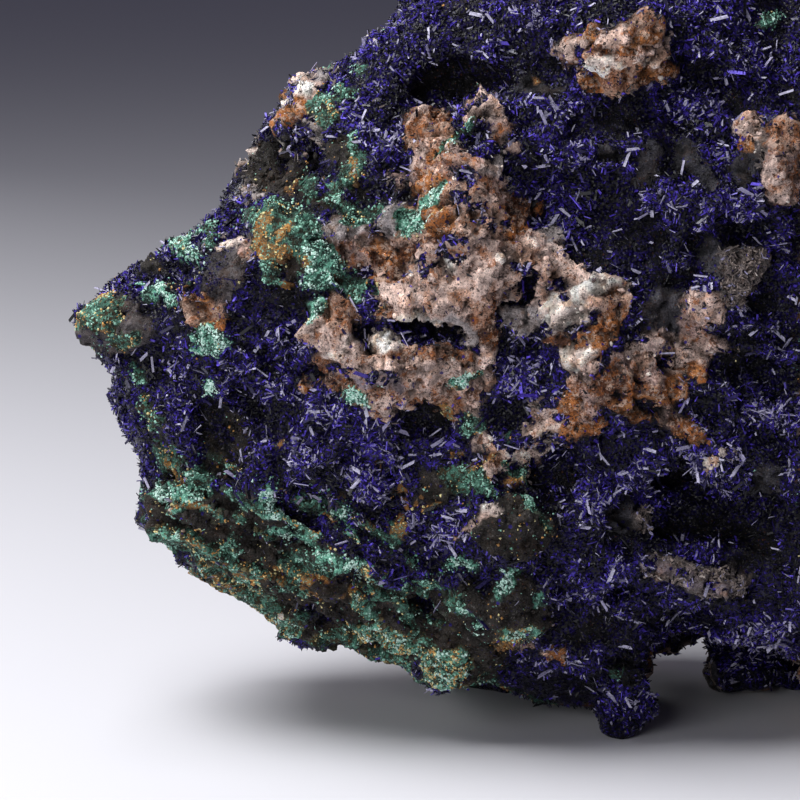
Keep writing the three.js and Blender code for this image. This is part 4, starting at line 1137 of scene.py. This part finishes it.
def grow_lumps(surface, material):
    """Broken quartz on the pale rock, knobs on the limonite and the dark rock, and loose grains."""
    cover = surface.cover
    bright = cover.colour[:, 0]
    bare = np.clip(1 - 1.5 * cover.azurite - cover.malachite, 0, 1)
    pale = bare * smoothstep(bright, 0.1, 0.3) * np.where(surface.seen, 1, 0.3)
    lumpy = bare * smoothstep(cover.lumps, 0.45, 0.65) * np.where(surface.seen, 1, 0.2)
    # Name, number, where they grow, limits of their radius, skew, how deep they sit in radii, seed.
    pieces = (("quartz_chips", 1500, pale, (0.35, 1.2), 2.0, 0.55, 300),
              ("quartz_grains", 1300, pale, (0.15, 0.42), 1.5, 0.2, 301),
              ("dark_knobs", 3200, lumpy, (0.2, 0.9), 1.6, 0.2, 302))
    form = rough_ball()
    for name, count, share, radii, skew, depth, seed in pieces:
        random = np.random.default_rng(seed)
        corners, faces, _, picked = lumps_on(surface, form, share, count, radii, skew, depth, random)
        corners = corners + 0.3 * np.stack([noise(corners, 1.2, seed + k) for k in range(3)], axis=1)
        own = cover.colour[picked] * random.uniform(0.65, 1.3, count)[:, None]
        white = (random.random(count) < 0.06) & (name != "dark_knobs")
        own[white] = KINDS["white"][0]
        each = len(form[0])
        none = np.zeros(count * each)
        stain = np.repeat(np.where(white, 0.1, cover.stain[picked]), each)
        colours = np.repeat(own, each, axis=0)
        new_piece(name, corners, faces, material, "matrix_rock", colours,
                  azurite=none, malachite=none, stain=stain, sunk=none)


def make_camera():
    data = bpy.data.cameras.new("camera")
    data.sensor_width = SENSOR
    data.lens = SENSOR * EYE_DISTANCE / (PICTURE * MM_PER_PIXEL)
    data.clip_start = 0.05
    data.clip_end = 100
    camera = bpy.data.objects.new("camera", data)
    camera.location = Vector((TARGET + TO_EYE * EYE_DISTANCE) * MM)
    camera.rotation_euler = Vector(-TO_EYE).to_track_quat("-Z", "Y").to_euler()
    bpy.context.scene.collection.objects.link(camera)
    bpy.context.scene.camera = camera


# Of each soft light: its middle and the point that it shines at, in metres from below the specimen's middle,
# its width and height, its power in watts, and its spread in degrees.
LIGHTS = {
    "key": ((-0.38, -0.19, 0.76), (-0.38, -0.19, 0), (0.6, 0.6), 11, 180),
    "fill": ((-0.45, -0.85, 0.35), (0, 0, 0.05), (0.6, 0.4), 3, 180),
    "back": ((-0.5, 1.0, 0.3), (0, 0, 0.08), (0.5, 0.5), 0.2, 50),
}
SURROUND_COLOUR = (0.74, 0.72, 1.0)
SURROUND_STRENGTH = 0.08
FLOOR_COLOUR = (0.71, 0.707, 0.75)
FLOOR_REACH = 6.0  # in metres, from the middle to each edge


def softbox(name, middle, aim, size, power, spread):
    foot_x, foot_y, _ = TARGET * MM
    middle, aim = ((foot_x + x, foot_y + y, z) for x, y, z in (middle, aim))
    data = bpy.data.lights.new(name, "AREA")
    data.shape = "RECTANGLE"
    data.size, data.size_y = size
    data.energy = power
    data.spread = math.radians(spread)
    light = bpy.data.objects.new(name, data)
    light.location = middle
    light.rotation_euler = (Vector(aim) - Vector(middle)).to_track_quat("-Z", "Y").to_euler()
    bpy.context.scene.collection.objects.link(light)


def make_stage():
    """A pale floor, a soft light at the upper left, weaker ones in front and behind, and a dim surround."""
    for name, light in LIGHTS.items():
        softbox(name, *light)
    world = bpy.data.worlds.new("surround")
    world.use_nodes = True
    world.node_tree.nodes["Background"].inputs["Color"].default_value = (*SURROUND_COLOUR, 1)
    world.node_tree.nodes["Background"].inputs["Strength"].default_value = SURROUND_STRENGTH
    bpy.context.scene.world = world
    mesh = bpy.data.meshes.new("floor")
    mesh.from_pydata([(FLOOR_REACH * x, FLOOR_REACH * y, 0) for x, y in SQUARE], [], [(0, 1, 2, 3)])
    floor = bpy.data.objects.new("floor", mesh)
    bpy.context.scene.collection.objects.link(floor)
    paint = bpy.data.materials.new("floor")
    paint.use_nodes = True
    shader = paint.node_tree.nodes["Principled BSDF"]
    shader.inputs["Base Color"].default_value = (*FLOOR_COLOUR, 1)
    shader.inputs["Roughness"].default_value = 0.7
    mesh.materials.append(paint)
    bpy.context.scene.view_settings.view_transform = "Standard"


make_camera()
make_stage()
rock_paint = rock_material()
surface = Surface(build_rock(rock_paint).data)
grow_azurite(surface)
grow_malachite(surface)
grow_lumps(surface, rock_paint)
